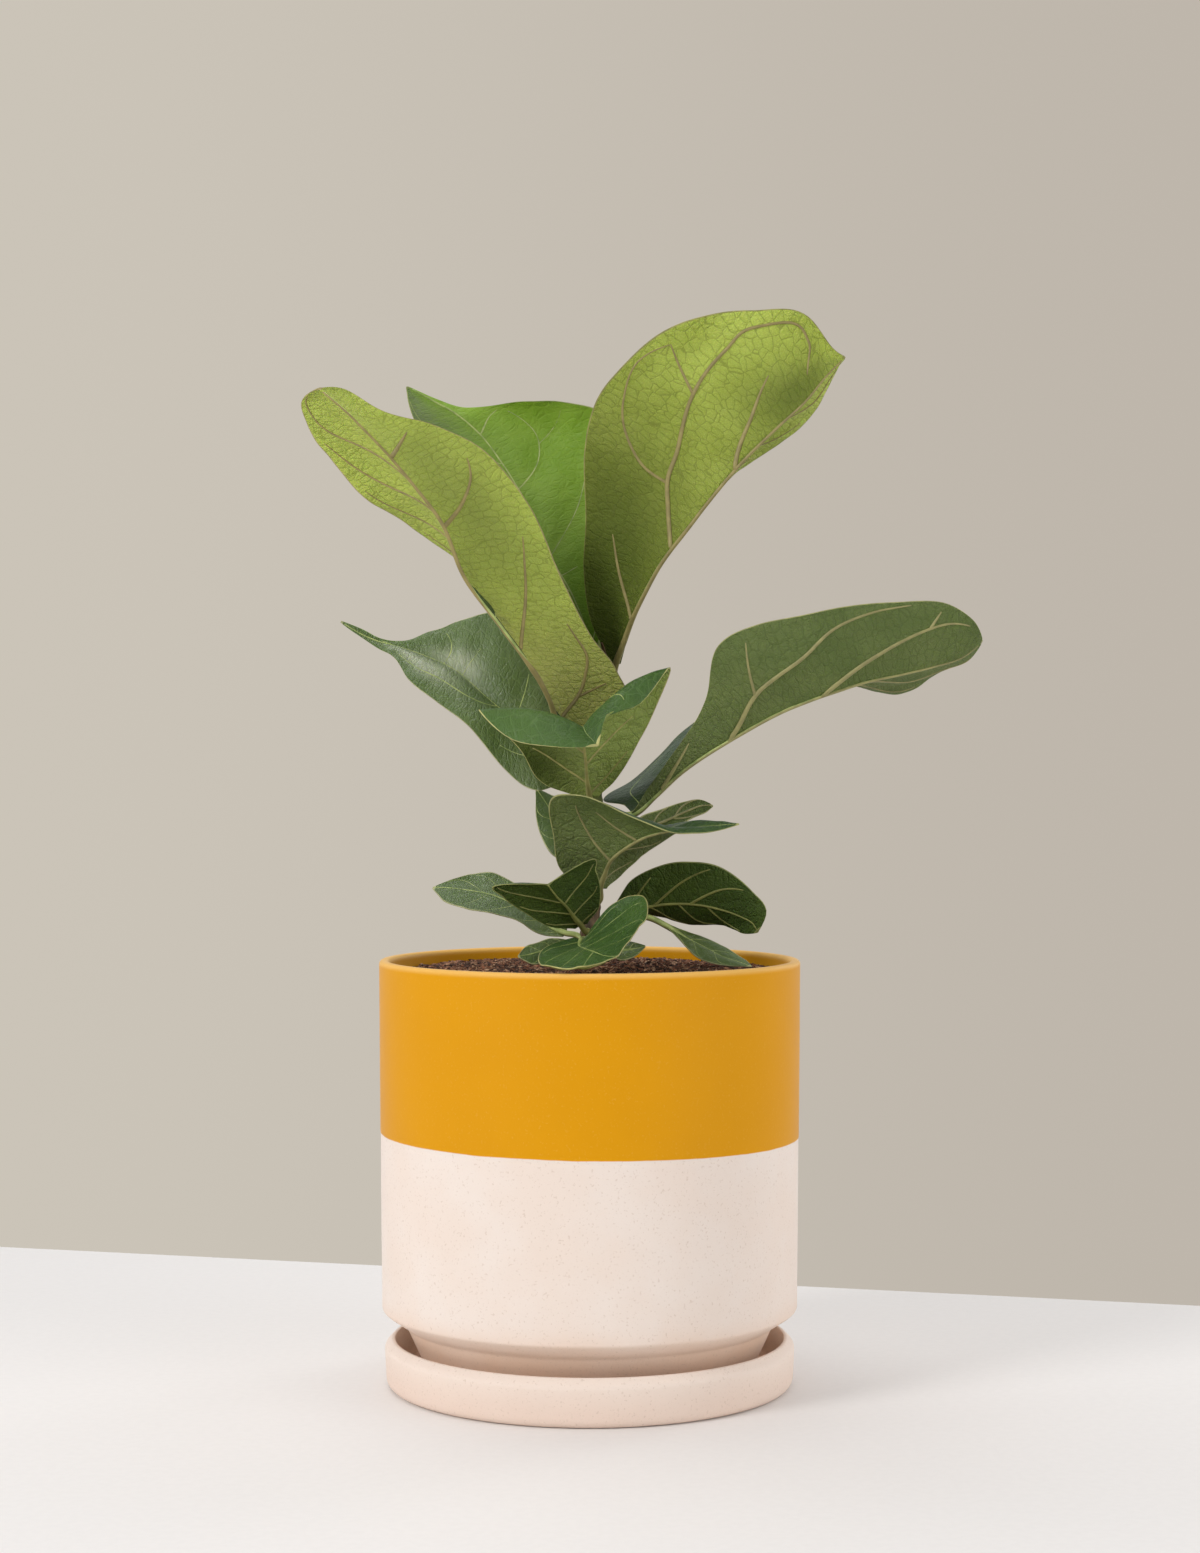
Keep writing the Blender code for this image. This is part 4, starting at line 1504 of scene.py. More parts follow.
LEAVES: tuple[Leaf, ...] = (
    Leaf("leaf_upper_left", LIME, 105, (-0.1, -0.1), ((-7, -10, 109),), (
            ((-14, -16, 115), (-2, -9, 112), (-11, -12, 118)),
            ((-20, -22, 129), (18, 1, 127), (-14, 2, 134)),
            ((-27, -28, 143), (13, -5, 143), (-20, 10, 149)),
            ((-40, -37, 161), (1, -12, 159), (-34, 7, 172)),
            ((-58, -47, 185), (-14, -22, 188), (-59, 0, 193)),
            ((-68, -55, 209), (-29, -30, 221), (-85, -12, 210)),
            ((-80, -60, 225), (-48, -37, 244), (-105, -22, 223)),
            ((-94, -64, 242), (-72, -44, 256), (-121, -32, 241)),
            ((-110, -67, 258), (-99, -53, 263), (-132, -42, 256)),
            ((-117, -68, 264), (-113, -56, 271), (-134, -48, 266)),
            ((-124, -66, 270), (-124, -66, 270), (-124, -66, 270)),
        ),
        left=(
            ((0, 0), (0.09, 0.43), (0.24, 0.82), (0.32, 0.83)),
            ((0.09, 0.43), (0.13, 0.82)),
            ((0.22, 0), (0.43, 0.65), (0.52, 0.8)),
            ((0.57, 0), (0.62, 0.45), (0.66, 0.7), (0.69, 0.8)),
            ((0.77, 0), (0.81, 0.63)),
        ),
        dull=((0.45, -0.1, 0.12, 0.6), (0.6, -0.5, 0.2, 0.7),),
    ),
    Leaf("leaf_upper_right", OLIVE, 114, (-0.1, -0.12), ((9.5, 6.5, 125),), (
            ((12, 9, 144), (15, 12, 147), (8, 11, 148)),
            ((17, 0, 159), (20, 20, 165), (0, 7, 169)),
            ((23, -12, 174), (26, 28, 181), (-3, 0, 191)),
            ((32, -22, 191), (37, 32, 200), (-2, -14, 214)),
            ((47, -32, 210), (54, 30, 221), (-2, -30, 246)),
            ((70, -42, 238), (77, 22, 244), (12, -44, 280)),
            ((86, -48, 253), (94, 6, 255), (39, -52, 300)),
            ((100, -51, 266), (109, -12, 268), (74, -56, 307)),
            ((110, -51, 278), (115, -32, 280), (102, -56, 304)),
            ((115, -50, 283), (117, -42, 284), (112, -54, 291)),
            ((119, -48, 287), (119, -48, 287), (119, -48, 287)),
        ),
        right=(
            ((0.15, 0), (0.26, 0.55), (0.31, 0.67)),
            (
                (0.37, 0), (0.44, 0.22), (0.49, 0.32), (0.57, 0.37), (0.68, 0.53),
                (0.79, 0.7), (0.84, 0.83), (0.9, 0.83), (0.92, 0.6), (0.89, 0.18),
            ),
            ((0.49, 0.32), (0.49, 0.55), (0.54, 0.75), (0.61, 0.87), (0.68, 0.95), (0.73, 0.9)),
            ((0.69, 0.55), (0.71, 0.73), (0.73, 0.9)),
            ((0.62, 0), (0.67, 0.08), (0.74, 0.18), (0.82, 0.37)),
        ),
        dull=((0.25, 0.6, 0.3, 0.8), (0.75, -0.2, 0.2, 0.6), (0.84, 0.1, 0.15, 0.8),),
    ),
    Leaf("leaf_upper_back", BRIGHT, 117, (0.1, 0.1), ((1, 14, 123),), (
            ((3, 18, 133), (0, 18, 135), (5, 18, 134)),
            ((0, 24, 158), (-11, 20, 161), (12, 18, 159)),
            ((-9, 29, 182), (-27, 20, 178), (16, 17, 188)),
            ((-19, 33, 200), (-44, 22, 192), (20, 14, 217)),
            ((-35, 39, 234), (-61, 27, 222), (16, 18, 252)),
            ((-45, 42, 250), (-72, 30, 238), (4, 24, 273)),
            ((-55, 44, 263), (-80, 34, 256), (-31, 37, 279)),
            ((-67, 44, 273), (-87, 34, 267), (-60, 48, 276)),
            ((-80, 42, 280), (-90, 36, 276), (-77, 46, 281)),
            ((-91, 39, 286), (-91, 39, 286), (-91, 39, 286)),
        ),
        right=(
            ((0.33, 0), (0.34, 0.23)),
            ((0.39, 0), (0.48, 0.37), (0.56, 0.57), (0.66, 0.8)),
            ((0.59, 0), (0.64, 0.25), (0.68, 0.35), (0.74, 0.52), (0.78, 0.67)),
            ((0.68, 0.35), (0.72, 0.83)),
            ((0.77, 0), (0.79, 0.28), (0.8, 0.73)),
            ((0.12, 0), (0.2, 0.4), (0.28, 0.7)),
        ),
        dull=((0.8, -0.9, 0.35, 1.0), (0.5, -0.9, 0.35, 1.0), (0.95, -0.6, 0.2, 0.8),),
    ),
    Leaf("leaf_mid_left", DEEP, 81, (-0.08, -0.06), ((-5, 7, 84),), (
            ((-11, 9, 91), (-13, 6, 87), (-10, 11, 95)),
            ((-22, 14, 104), (-26, 2, 85), (-14, 26, 122)),
            ((-38, 22, 120), (-42, 6, 96), (-25, 37, 150)),
            ((-52, 27, 132), (-58, 10, 115), (-42, 43, 171)),
            ((-67, 32, 145), (-75, 19, 128), (-62, 43, 170)),
            ((-82, 36, 152), (-89, 25, 139), (-80, 41, 164)),
            ((-94, 38, 156), (-97, 33, 151), (-92, 40, 159)),
            ((-105, 39, 159), (-106, 38, 156), (-105, 40, 160)),
            ((-114, 39, 163), (-115, 39, 162), (-114, 40, 165)),
            ((-124, 39, 169), (-124, 39, 169), (-124, 39, 169)),
        ),
        left=(
            ((0.1, 0), (0.2, 0.45), (0.32, 0.72)),
            ((0.36, 0), (0.49, 0.42), (0.62, 0.5), (0.76, 0.65)),
        ),
        right=(
            ((0.28, 0), (0.29, 0.5), (0.3, 0.67)),
            ((0.53, 0), (0.51, 0.22), (0.48, 0.48)),
            ((0.61, 0), (0.59, 0.33), (0.62, 0.75)),
            ((0.8, 0), (0.84, 0.5)),
        ),
        dull=((0.55, 0.15, 0.1, 0.7), (0.68, -0.35, 0.13, 0.75),),
    ),
    Leaf("leaf_front_mid", FRESH, 73, (-0.08, -0.08), ((1, -8, 77),), (
            ((0, -13, 82), (4, -11, 82), (-3, -11, 81)),
            ((-1, -20, 89), (11, -10, 88), (-21, -12, 88)),
            ((-2, -32, 101), (22, -20, 106), (-33, -28, 105)),
            ((-3, -43, 110), (32, -26, 126), (-45, -40, 116)),
            ((-3, -50, 115), (38, -36, 143), (-51, -47, 121)),
            ((-1, -58, 111), (21, -50, 124), (-32, -60, 107)),
            ((2, -62, 108), (8, -58, 120), (-13, -66, 105)),
            ((4, -65, 106), (4, -65, 106), (4, -65, 106)),
        ),
        left=(
            ((0.01, 0), (0.14, 0.55), (0.37, 0.88)),
            ((0.33, 0), (0.57, 0.73)),
            ((0.6, 0), (0.8, 0.6)),
        ),
        right=(((0.15, 0), (0.25, 0.38), (0.4, 0.8)), ((0.45, 0), (0.6, 0.55)),),
        dull=((0.3, 0.9, 0.33, 1.0),),
    ),
    Leaf("leaf_right", SAGE, 69, (-0.03, 0.1), ((11, -6, 73),), (
            ((21, -12, 74), (17, -8, 78), (20, -14, 75)),
            ((31, -18, 83), (7, 8, 80), (28, -20, 87)),
            ((43, -24, 94), (22, 18, 89), (36, -26, 98)),
            ((65, -33, 109), (51, 22, 119), (54, -38, 127)),
            ((81, -38, 118), (75, 22, 134), (59, -50, 152)),
            ((97, -42, 125), (98, 18, 139), (77, -58, 162)),
            ((109, -45, 130), (115, 12, 141), (97, -62, 166)),
            ((126, -47, 135), (134, 4, 135), (117, -64, 170)),
            ((145, -47, 139), (151, -6, 133), (139, -64, 172)),
            ((161, -46, 143), (167, -20, 141), (164, -60, 172)),
            ((174, -45, 148), (178, -34, 146), (178, -54, 164)),
            ((183, -46, 155), (183, -46, 155), (183, -46, 155)),
        ),
        right=(
            ((0.1, 0), (0.16, 0.4), (0.24, 0.75)),
            ((0.32, 0), (0.44, 0.32), (0.55, 0.5), (0.64, 0.77), (0.74, 0.9), (0.81, 0.95)),
            ((0.44, 0.32), (0.46, 0.62), (0.48, 0.87)),
            ((0.58, 0), (0.74, 0.38), (0.84, 0.63), (0.93, 0.83)),
            ((0.84, 0.63), (0.86, 0.87)),
        ),
    ),
    Leaf("leaf_center", SAGE, 30, (-0.08, -0.08), ((5, -6, 33),), (
            ((5, -9, 38), (8, -6, 38), (2, -8, 38)),
            ((7, -14, 45), (14, 0, 43), (-13, -12, 46)),
            ((10, -22, 52), (20, 2, 49), (-17, -24, 63)),
            ((17, -29, 58), (28, 2, 55), (-18, -38, 80)),
            ((25, -36, 63), (36, -2, 60), (-2, -50, 82)),
            ((34, -44, 66), (44, -14, 65), (22, -57, 73)),
            ((47, -51, 68), (52, -34, 71), (42, -61, 66)),
            ((58, -56, 69), (61, -48, 71), (56, -61, 66)),
            ((69, -60, 70), (69, -60, 70), (69, -60, 70)),
        ),
        right=(
            ((0.21, 0), (0.26, 0.37), (0.37, 0.77)),
            ((0.42, 0), (0.4, 0.17), (0.4, 0.58)),
            ((0.62, 0), (0.7, 0.5)),
        ),
    ),
    Leaf("leaf_behind_left", DEEP, 42, (-0.05, -0.05), ((-1, 9, 47.5),), (
            ((-4.5, 12, 51.5), (-6, 11, 49.5), (-1.5, 13, 53)),
            ((-9.5, 15, 60), (-18, 11, 53.5), (-2, 19, 66)),
            ((-14.5, 18, 68), (-24, 15, 63), (-6, 23, 74.5)),
            ((-20, 21, 76.5), (-26.5, 19, 73.5), (-13.5, 25, 80.5)),
            ((-24, 23, 82.5), (-26.5, 22, 80.5), (-21.5, 25, 84)),
            ((-26.5, 24, 86), (-26.5, 24, 86), (-26.5, 24, 86)),
        ),
    ),
    Leaf("leaf_behind_right", SAGE, 53, (-0.08, -0.08), ((11, 10, 56),), (
            ((17.5, 15, 61), (18.5, 13, 59), (16.5, 17, 64)),
            ((27.5, 21, 66), (30.5, 17, 62), (24.5, 25, 72)),
            ((38.5, 27, 70.5), (42.5, 23, 67.5), (35.5, 31, 76)),
            ((48.5, 32, 75), (51.5, 30, 72), (46.5, 35, 79.5)),
            ((55.5, 35, 77.5), (57.5, 34, 74.5), (55, 37, 80.5)),
            ((61, 37, 77.5), (61, 37, 77.5), (61, 37, 77.5)),
        ),
    ),
    Leaf("leaf_low_left", DEEP, 11, (0.06, 0.06), ((-6, 4, 15),), (
            ((-11.5, 5, 16), (-13, 3, 14.5), (-11, 7, 18)),
            ((-22, 8, 21), (-24, 0, 16), (-20.5, 16, 29)),
            ((-34, 12, 28), (-37, -2, 23), (-36, 25, 39)),
            ((-47.5, 14, 34), (-51.5, -3, 27), (-48.5, 29, 44.5)),
            ((-60.5, 16, 36.5), (-63.5, 0, 29.5), (-60, 28, 43)),
            ((-70, 17, 37.5), (-72, 6, 33), (-69, 23, 40.5)),
            ((-77, 18, 37.5), (-77, 18, 37.5), (-77, 18, 37.5)),
        ),
    ),
    Leaf("leaf_low_front_left", MOSS, 17, (-0.08, -0.08), ((-2.5, -7, 18),), (
            ((-4, -10, 20.5), (-1, -10, 21.5), (-7, -10, 19)),
            ((-7.5, -16, 25), (4, -12, 29), (-19, -18, 20.5)),
            ((-11, -23, 30.5), (5, -17, 39), (-30, -26, 27)),
            ((-15.5, -30, 35.5), (3, -24, 47.5), (-40.5, -35, 35)),
            ((-18, -35, 39), (0, -30, 52), (-42.5, -40, 40.5)),
            ((-19.5, -38, 41.5), (-19.5, -38, 41.5), (-19.5, -38, 41.5)),
        ),
    ),
    Leaf("leaf_low_front", FRESH, 9, (0.05, 0.05), ((-1, -13, 14),), (
            ((-3.5, -22, 14.5), (0, -21, 18), (-7, -22, 15.5)),
            ((-5, -32, 13), (9.5, -26, 30.5), (-19.5, -40, 13)),
            ((-2.5, -46, 11.5), (24.5, -30, 36), (-23, -70, 8.5)),
            ((2, -60, 10.5), (27, -42, 27.5), (-16.5, -97, 6)),
            ((7.5, -72, 10), (20.5, -58, 18.5), (-1.5, -98, 6)),
            ((13, -80, 10.5), (13, -80, 10.5), (13, -80, 10.5)),
        ),
    ),
    Leaf("leaf_low_front_small", DEEP, 5, (0.05, 0.05), ((-8.5, -5, 8.5),), (
            ((-10.5, -12, 11.5), (-11.5, -12, 9.5), (-10, -12, 13.5)),
            ((-17.5, -20, 10.5), (-18, -24, 6), (-18.5, -18, 15)),
            ((-24.5, -28, 9), (-23.5, -34, 4), (-25.5, -24, 13)),
            ((-29.5, -33, 8), (-28, -37, 4.5), (-30.5, -29, 11.5)),
            ((-33.5, -36, 7.5), (-33.5, -36, 7.5), (-33.5, -36, 7.5)),
        ),
    ),
    Leaf("leaf_low_back", DEEP, 6, (-0.05, -0.05), ((7, 2.5, 8.5),), (
            ((9.5, 3, 8.5), (9, 5, 10.5), (10, 1, 6.5)),
            ((14, 4, 7.5), (13, 9, 11), (14, -2, 3.5)),
            ((20, 6, 8), (19.5, 10, 11.5), (20.5, 0, 4.5)),
            ((27, 8, 9.5), (27, 8, 9.5), (27, 8, 9.5)),
        ),
    ),
    Leaf("leaf_low_right", MOSS, 21, (0.06, 0.08), ((8, 5, 24),), (
            ((13, 7, 26), (14, 9, 24), (12, 6, 30)),
            ((24, 7, 28), (27, 18, 25), (19, 3, 41)),
            ((37, 6, 30), (40, 20, 21), (34, 0, 49)),
            ((49, 4, 30), (51, 19, 19), (47, -3, 51)),
            ((62, 1, 28), (63, 14, 20), (64, -6, 48)),
            ((72, -1, 25), (71, 7, 18), (78, -7, 37)),
            ((79, -3, 21), (76, 1, 16), (85, -6, 26)),
            ((81, -4, 17), (81, -4, 17), (81, -4, 17)),
        ),
        right=(
            ((0.25, 0), (0.47, 0.58), (0.62, 0.88)),
            ((0.49, 0), (0.63, 0.35), (0.79, 0.83)),
            ((0.05, 0), (0.18, 0.5), (0.27, 0.8)),
        ),
    ),
    Leaf("leaf_low_right_soil", DEEP, 18, (-0.05, -0.05), ((15.5, -1, 22.5), (27.5, 0, 24),), (
            ((37.5, 2, 19.5), (38, 3, 20.5), (37, 1, 19)),
            ((46, 4, 14.5), (48.5, 8, 16.5), (43.5, -1, 13)),
            ((55.5, 5, 9.5), (60.5, 11, 11.5), (50, -3, 6)),
            ((65, 4, 4.5), (70, 9, 6), (59, -3, 2)),
            ((72.5, 3, 2), (75.5, 6, 2.5), (69, -1, 0.5)),
            ((78, 2, 0), (78, 2, 0), (78, 2, 0)),
        ),
    ),
)


# --- pot, saucer and soil ------------------------------------------------------------------------


@dataclass(frozen=True)
class Planter:
    """The straight-sided pot with its rounded rim and stepped foot, and the saucer under it."""

    radius: float = 101.5
    top: float = 204.0
    wall: float = 5.0
    rim_round: float = 2.3
    side_from: float = 37.2
    taper: float = 1.3
    step_in: float = 11.6
    step_height: float = 7.7
    foot_taper: float = 10.7
    inside_rise: float = 3.0
    floor: float = 7.0
    drain: float = 8.0
    shoulder_round: float = 2.2
    step_round: float = 4.0
    inside_round: float = 6.0
    foot_round: float = 3.5
    glaze_line: float = 120.45
    glaze_tilt: float = 0.013
    glaze_proud: float = 0.22
    saucer_height: float = 22.6
    saucer_wall: float = 5.2
    channel: float = 4.9
    saucer_floor: float = 6.0
    lean: float = 1.0
    cove: float = 4.0
    lip_edge: float = 0.7
    lip_flat: float = 1.6
    lip_fall: float = 3.6
    lip_round: float = 4.0
    heel: float = 5.0
    gap: float = 0.35

    @property
    def foot(self) -> float:
        """Radius of the pot's foot."""
        return self.radius - self.taper - self.step_in

    @property
    def underside(self) -> float:
        """Height of the pot's underside."""
        return self.saucer_floor + self.gap

    def inside(self) -> list[tuple[float, float, float]]:
        """Corners of the pot's inside, from the rim to the floor."""
        inner = self.foot - self.wall
        return [
            (self.radius - self.wall, self.top, self.rim_round),
            (
                self.radius - self.wall - self.taper,
                self.side_from + self.inside_rise,
                self.inside_round,
            ),
            (inner, self.side_from - self.step_height + self.inside_rise, self.inside_round),
            (inner - self.foot_taper, self.underside + self.floor, self.foot_round),
        ]

    def build_pot(self) -> bpy.types.Object:
        """Builds and dresses the pot.

        Returns:
            The pot, glazed down to its line.
        """
        floor = self.underside + self.floor
        corners = [
            (self.radius, self.top, self.rim_round),
            (self.radius - self.taper, self.side_from, self.shoulder_round),
            (self.foot, self.side_from - self.step_height, self.step_round),
            (self.foot - self.foot_taper, self.underside, self.foot_round),
            (self.drain, self.underside, 0.8),
            (self.drain, floor, 0.8),
            *reversed(self.inside()),
        ]
        outline = denser(rounded(corners), 1.2, True)
        points, faces = turned(outline, True)
        radial = unit(points * (1.0, 1.0, 0.0))
        line = self.glaze_line - self.glaze_tilt * points[:, 0]
        bare = np.clip((line - points[:, 2]) / 0.8 + 0.5, 0.0, 1.0)
        outside = np.linalg.norm(points[:, :2], axis=1) > self.radius - self.wall / 2
        sunk = self.glaze_proud * bare * outside + 0.10 * (1 + smooth_noise(points, 34.0, 2.0))
        points -= radial * sunk[:, None]
        finish = GlazedClay(line=self.glaze_line, tilt=self.glaze_tilt, rim=self.top)
        piece = plain_piece("pot_body", points, faces, finish.material("two_tone_pot"))
        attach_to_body(piece, ROOT)
        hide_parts("pot")
        return piece

    def build_saucer(self) -> bpy.types.Object:
        """Builds and dresses the saucer.

        Returns:
            The saucer, of the pot's bare clay.
        """
        inner = self.foot + self.channel
        outer = inner + self.saucer_wall
        corners = [
            (0.0, self.saucer_floor, 0.0),
            (inner - self.lean, self.saucer_floor, self.cove),
            (inner, self.saucer_height, self.lip_edge),
            (inner + self.lip_flat, self.saucer_height, self.lip_round),
            (outer, self.saucer_height - self.lip_fall, self.lip_round),
            (outer - self.lean, 0.0, self.heel),
            (0.0, 0.0, 0.0),
        ]
        outline = denser(rounded(corners), 1.6, False)
        points, faces = turned(outline, False)
        radial = unit(points * (1.0, 1.0, 0.0) + (1e-9, 0.0, 0.0))
        points -= radial * (0.10 * (1 + smooth_noise(points, 26.0, 9.0)))[:, None]
        # The saucer is painted warmer and darker low down, as shade near the table.
        pale, foot_shade = srgb(240, 225, 213), srgb(234, 212, 197)
        clay = Clay(pale=pale, foot_shade=foot_shade, foot_shade_below=4.0, pale_above=24.0)
        piece = plain_piece("saucer_dish", points, faces, clay.material("saucer_clay"))
        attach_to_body(piece, ROOT)
        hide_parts("saucer")
        return piece


@dataclass(frozen=True)
class Soil:
    """Potting mix that fills the pot, with bark and coir chips lying on it."""

    planter: Planter
    below_rim: float = 7.0
    mound: float = 3.0
    chips: int = 9000
    seed: int = 11

    def height(self, radius: Array) -> Array:
        """Height of the soil's smooth surface at distances from the middle."""
        rim = self.planter.radius - self.planter.wall
        return self.planter.top - self.below_rim + self.mound * (1 - (radius / rim) ** 2)

    def surface(self, points: Array) -> Array:
        """Height of the uneven surface.

        Args:
            points: Places as (x, y) rows.

        Returns:
            A height for each.
        """
        radius = np.linalg.norm(points, axis=1)
        rim = self.planter.radius - self.planter.wall
        spread = np.column_stack((points, np.zeros(len(points))))
        uneven = 0.9 * smooth_noise(spread, 16.0, 3.0) + 0.6 * smooth_noise(spread, 4.5, 8.0)
        still = np.clip((radius - 5.0) / 10.0, 0.0, 1.0)
        return self.height(radius) + uneven * still * np.clip((rim - radius) / 3.0 + 0.3, 0, 1)

    def build_bed(self) -> bpy.types.Object:
        """Builds the soil's body.

        Returns:
            One closed piece that fills the pot.
        """
        gap = self.planter.gap
        rim = self.planter.radius - self.planter.wall - gap
        inside = [(r - gap, z + gap, f) for r, z, f in self.planter.inside()[1:]]
        edge = float(self.height(np.array(rim)))
        corners = [
            (0.0, edge + self.mound, 0.0),
            (rim, edge - 0.4, 0.0),
            *inside,
            (0.0, self.planter.underside + self.planter.floor + gap, 0.0),
        ]
        outline = denser(rounded(corners), 1.8, False)
        points, faces = turned(outline, False)
        top = points[:, 2] > edge - 0.45
        points[top, 2] = self.surface(points[top, :2])
        mix = Crumb("potting_mix", srgb(74, 50, 40), srgb(38, 26, 22))
        piece = plain_piece("soil_bed", points, faces, mix.material())
        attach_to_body(piece, ROOT)
        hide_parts("potting_soil")
        return piece

    def build_chips(self) -> bpy.types.Object:
        """Builds the loose chips.

        Returns:
            One piece of many small closed chips.
        """
        draw = np.random.default_rng(self.seed)
        count = self.chips
        radius = (self.planter.radius - self.planter.wall - 2.4) * np.sqrt(draw.random(count))
        angle = math.tau * draw.random(count)
        place = np.stack((radius * np.cos(angle), radius * np.sin(angle)), axis=-1)
        place = place[radius > 5.5]
        count = len(place)
        length = np.clip(draw.lognormal(0.95, 0.38, count), 1.2, 6.5)
        width = draw.uniform(0.45, 1.25, count)
        thick = draw.uniform(0.35, 0.85, count)
        yaw = draw.uniform(0, math.tau, count)
        pitch = draw.normal(0.0, 0.22, count)
        roll = draw.normal(0.0, 0.5, count)
        corner = np.array([(x, y, z) for x in (-1, 1) for y in (-1, 1) for z in (-1, 1)], float)
        box = corner[None] * np.stack((length, width, thick), axis=-1)[:, None] / 2
        box *= draw.uniform(0.55, 1.1, box.shape)
        x, y, z = np.moveaxis(box, -1, 0)
        y, z = turned_by(roll, y, z)
        x, z = turned_by(pitch, x, z)
        x, y = turned_by(yaw, x, y)
        base = self.surface(place) + draw.uniform(0.0, 0.9, count)
        points = np.stack((x + place[:, :1], y + place[:, 1:], z + base[:, None]), axis=-1)
        points = points.reshape(-1, 3)
        sides = ((0, 1, 3, 2), (4, 6, 7, 5), (0, 4, 5, 1), (2, 3, 7, 6), (0, 2, 6, 4), (1, 5, 7, 3))
        faces = [tuple(8 * k + i for i in side) for k in range(count) for side in sides]
        kind = draw.choice(4, count, p=(0.38, 0.31, 0.19, 0.12))
        skin = Skin()
        skin.add(points, faces, np.repeat(kind, 6).tolist())
        kinds = (
            Crumb("dark_bark", srgb(94, 64, 48), srgb(52, 36, 28)),
            Crumb("red_bark", srgb(146, 94, 66), srgb(92, 58, 42)),
            Crumb("coir_fibre", srgb(180, 132, 98), srgb(126, 86, 62)),
            Crumb("pale_chip", srgb(206, 168, 134), srgb(150, 112, 84)),
        )
        piece = skin.build("soil_chips", [kind.material() for kind in kinds])
        piece.data.shade_flat()
        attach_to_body(piece, ROOT)
        return piece


# --- setting -------------------------------------------------------------------------------------


class Lamp(Enum):
    """Soft studio lamps: place and aim in metres, width in metres, power and colour."""

    KEY = ((-1.60, -1.25, 1.20), (0.0, 0.0, 0.22), 0.8, 24.0, (1.0, 0.99, 0.985))
    FILL = ((1.70, -1.10, 0.80), (0.0, 0.0, 0.22), 1.6, 11.5, (1.0, 0.99, 0.985))
    TOP = ((-0.20, 0.35, 1.70), (0.0, 0.0, 0.30), 1.1, 8.0, (1.0, 0.995, 0.99))
    EDGE = ((1.30, 1.10, 0.70), (0.0, 0.0, 0.20), 0.7, 5.5, (1.0, 0.99, 0.985))

    def build(self) -> None:
        """Adds the lamp to the scene."""
        place, aim, width, power, colour = self.value
        data = bpy.data.lights.new(f"{self.name.lower()}_lamp", "AREA")
        data.shape = "DISK"
        data.size = width
        data.energy = power
        data.color = colour
        lamp = bpy.data.objects.new(data.name, data)
        lamp.location = place
        lamp.rotation_euler = (Vector(aim) - Vector(place)).to_track_quat("-Z", "Y").to_euler()
        bpy.context.scene.collection.objects.link(lamp)


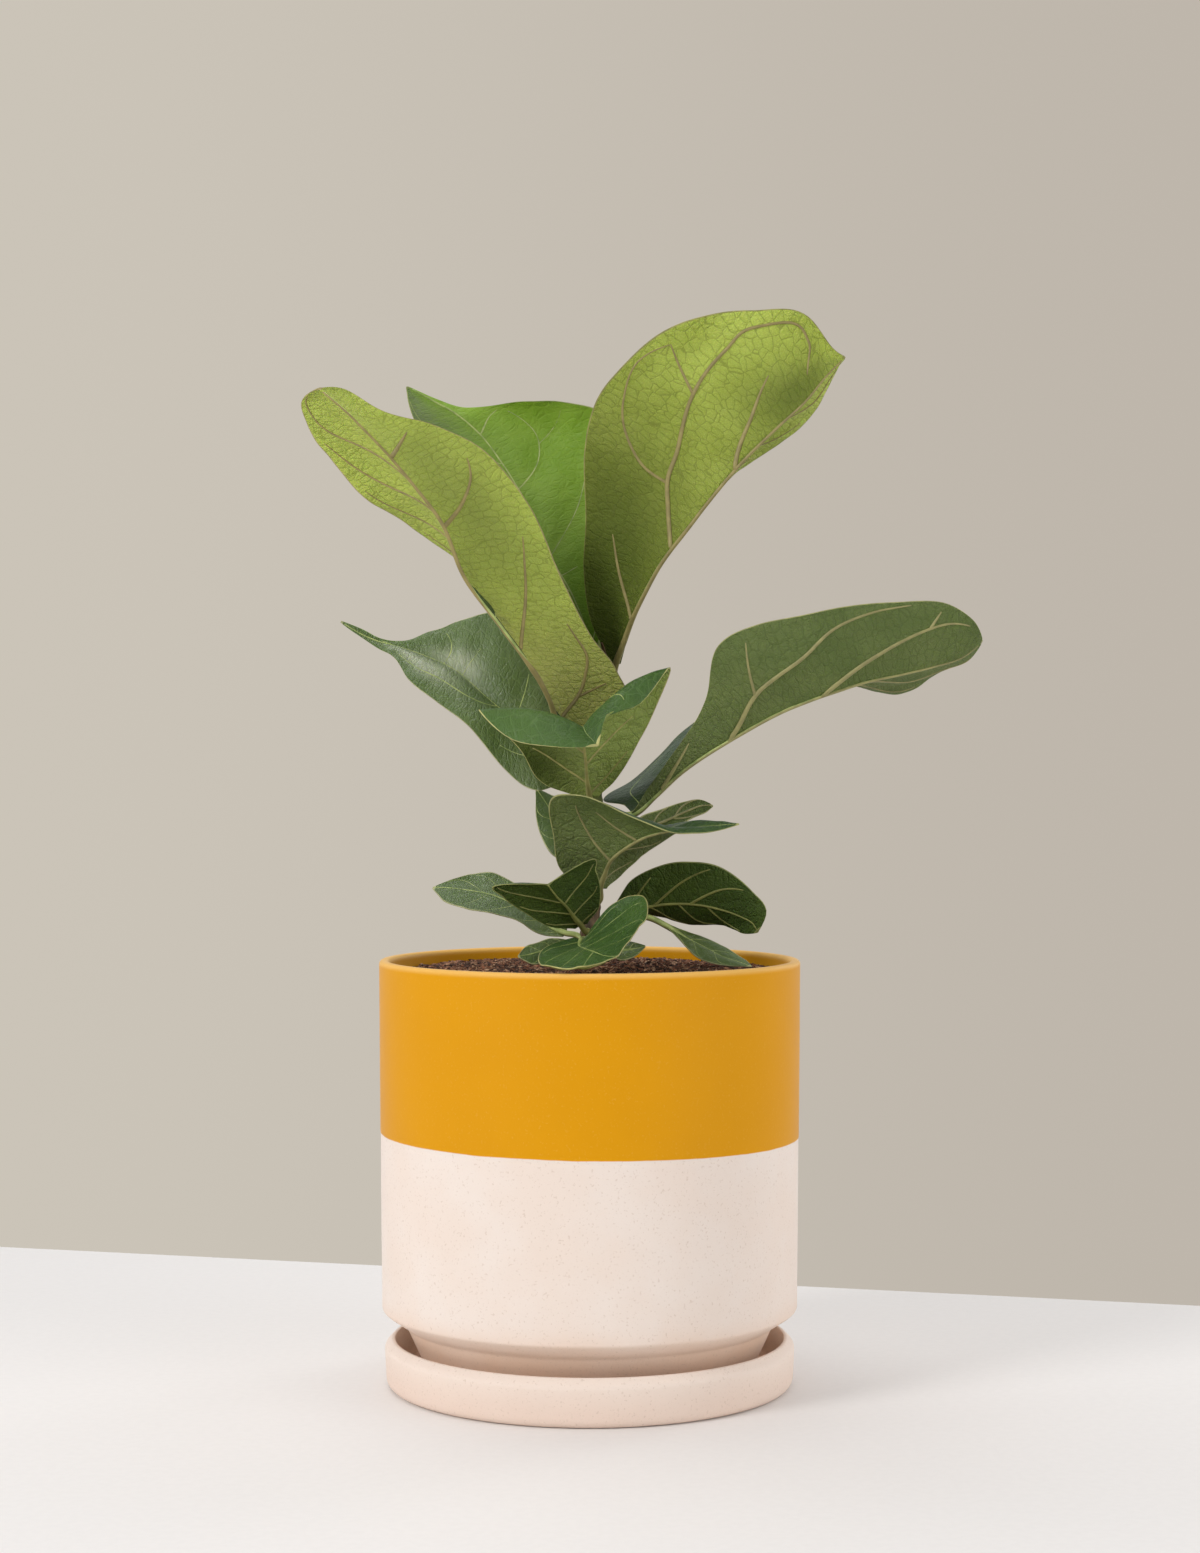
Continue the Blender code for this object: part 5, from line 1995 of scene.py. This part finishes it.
@dataclass(frozen=True)
class Studio:
    """Pale table with its far edge in view, a warm grey surround, lamps and the camera."""

    # Painted light: the surround is a little lighter on the left, the side the key lamp shines from.
    surround_left: Colour = srgb(203, 196, 184)
    surround_right: Colour = srgb(190, 182, 171)
    turn: float = 0.24
    ambient: Colour = (0.50, 0.502, 0.505)
    edge_left: tuple[float, float] = (-367.0, 371.0)
    edge_right: tuple[float, float] = (336.0, 185.0)
    half_length: float = 2600.0
    depth: float = 3600.0
    thickness: float = 30.0
    camera: Point = (4.95, -1300.0, 292.0)
    lens: float = 62.4
    sensor: float = 36.0

    def build_table(self) -> None:
        """Builds the table top, which isn't part of the object."""
        left, right = np.array(self.edge_left), np.array(self.edge_right)
        run = unit(right - left)
        back = (left + right) / 2
        toward = np.array((run[1], -run[0]))
        corners = [
            back - run * self.half_length,
            back + run * self.half_length,
            back + run * self.half_length + toward * self.depth,
            back - run * self.half_length + toward * self.depth,
        ]
        points = [(x, y, 0.0) for x, y in corners] + [(x, y, -self.thickness) for x, y in corners]
        faces = [(0, 3, 2, 1), (4, 5, 6, 7)]
        faces += [(k, (k + 1) % 4, (k + 1) % 4 + 4, k + 4) for k in range(4)]
        shell = np.array(points)
        paint = TableTop().material("pale_table")
        table = plain_piece("table_top", shell, facing_out(shell, faces), paint)
        table.data.shade_flat()

    def build_surround(self) -> None:
        """Sets the warm grey surround, painted a little lighter on the left as light from that side.
        """
        world = bpy.data.worlds.new("surround")
        shader = Shader("surround", world)
        heading = shader.signal(shader.node("ShaderNodeTexCoord"), "Generated")
        across = shader.signal(shader.node("ShaderNodeSeparateXYZ", None, {0: heading}), "X")
        wall = shader.mix(
            across.between(-self.turn, self.turn), self.surround_left, self.surround_right
        )
        seen = shader.signal(shader.node("ShaderNodeLightPath"), "Is Camera Ray")
        shade = shader.node(
            "ShaderNodeBackground",
            None,
            {"Color": shader.mix(seen, self.ambient, wall), "Strength": 1.0},
        )
        shader.node("ShaderNodeOutputWorld", None, {"Surface": shader.signal(shade)})
        bpy.context.scene.world = world

    def build_camera(self) -> None:
        """Adds the camera, level and straight on."""
        data = bpy.data.cameras.new("camera")
        data.lens = self.lens
        data.sensor_width = self.sensor
        data.clip_end = 50.0
        camera = bpy.data.objects.new("camera", data)
        camera.location = [value * MM for value in self.camera]
        camera.rotation_euler = (math.pi / 2, 0.0, 0.0)
        bpy.context.scene.collection.objects.link(camera)
        bpy.context.scene.camera = camera

    def build(self) -> None:
        """Builds the whole setting."""
        self.build_surround()
        self.build_table()
        self.build_camera()
        for lamp in Lamp:
            lamp.build()
        bpy.context.scene.view_settings.view_transform = "Standard"


def report(piece: bpy.types.Object) -> None:
    """Logs a finished piece and its size."""
    sizes = " x ".join(f"{1000 * side:.0f}" for side in piece.dimensions)
    LOG.info("%s: %d faces, %s mm", piece.name, len(piece.data.polygons), sizes)


def main() -> None:
    """Builds the setting, the planter, the soil and the plant, and notes the sizes."""
    logging.basicConfig(level=logging.INFO, format="%(name)s %(message)s")
    Studio().build()
    planter = Planter()
    report(planter.build_saucer())
    report(planter.build_pot())
    soil = Soil(planter)
    report(soil.build_bed())
    report(soil.build_chips())
    stem = Stem()
    report(stem.build([leaf.attach for leaf in LEAVES]))
    maker = LeafMaker(stem)
    for leaf in LEAVES:
        report(maker.build(leaf))


if __name__ == "__main__":
    main()
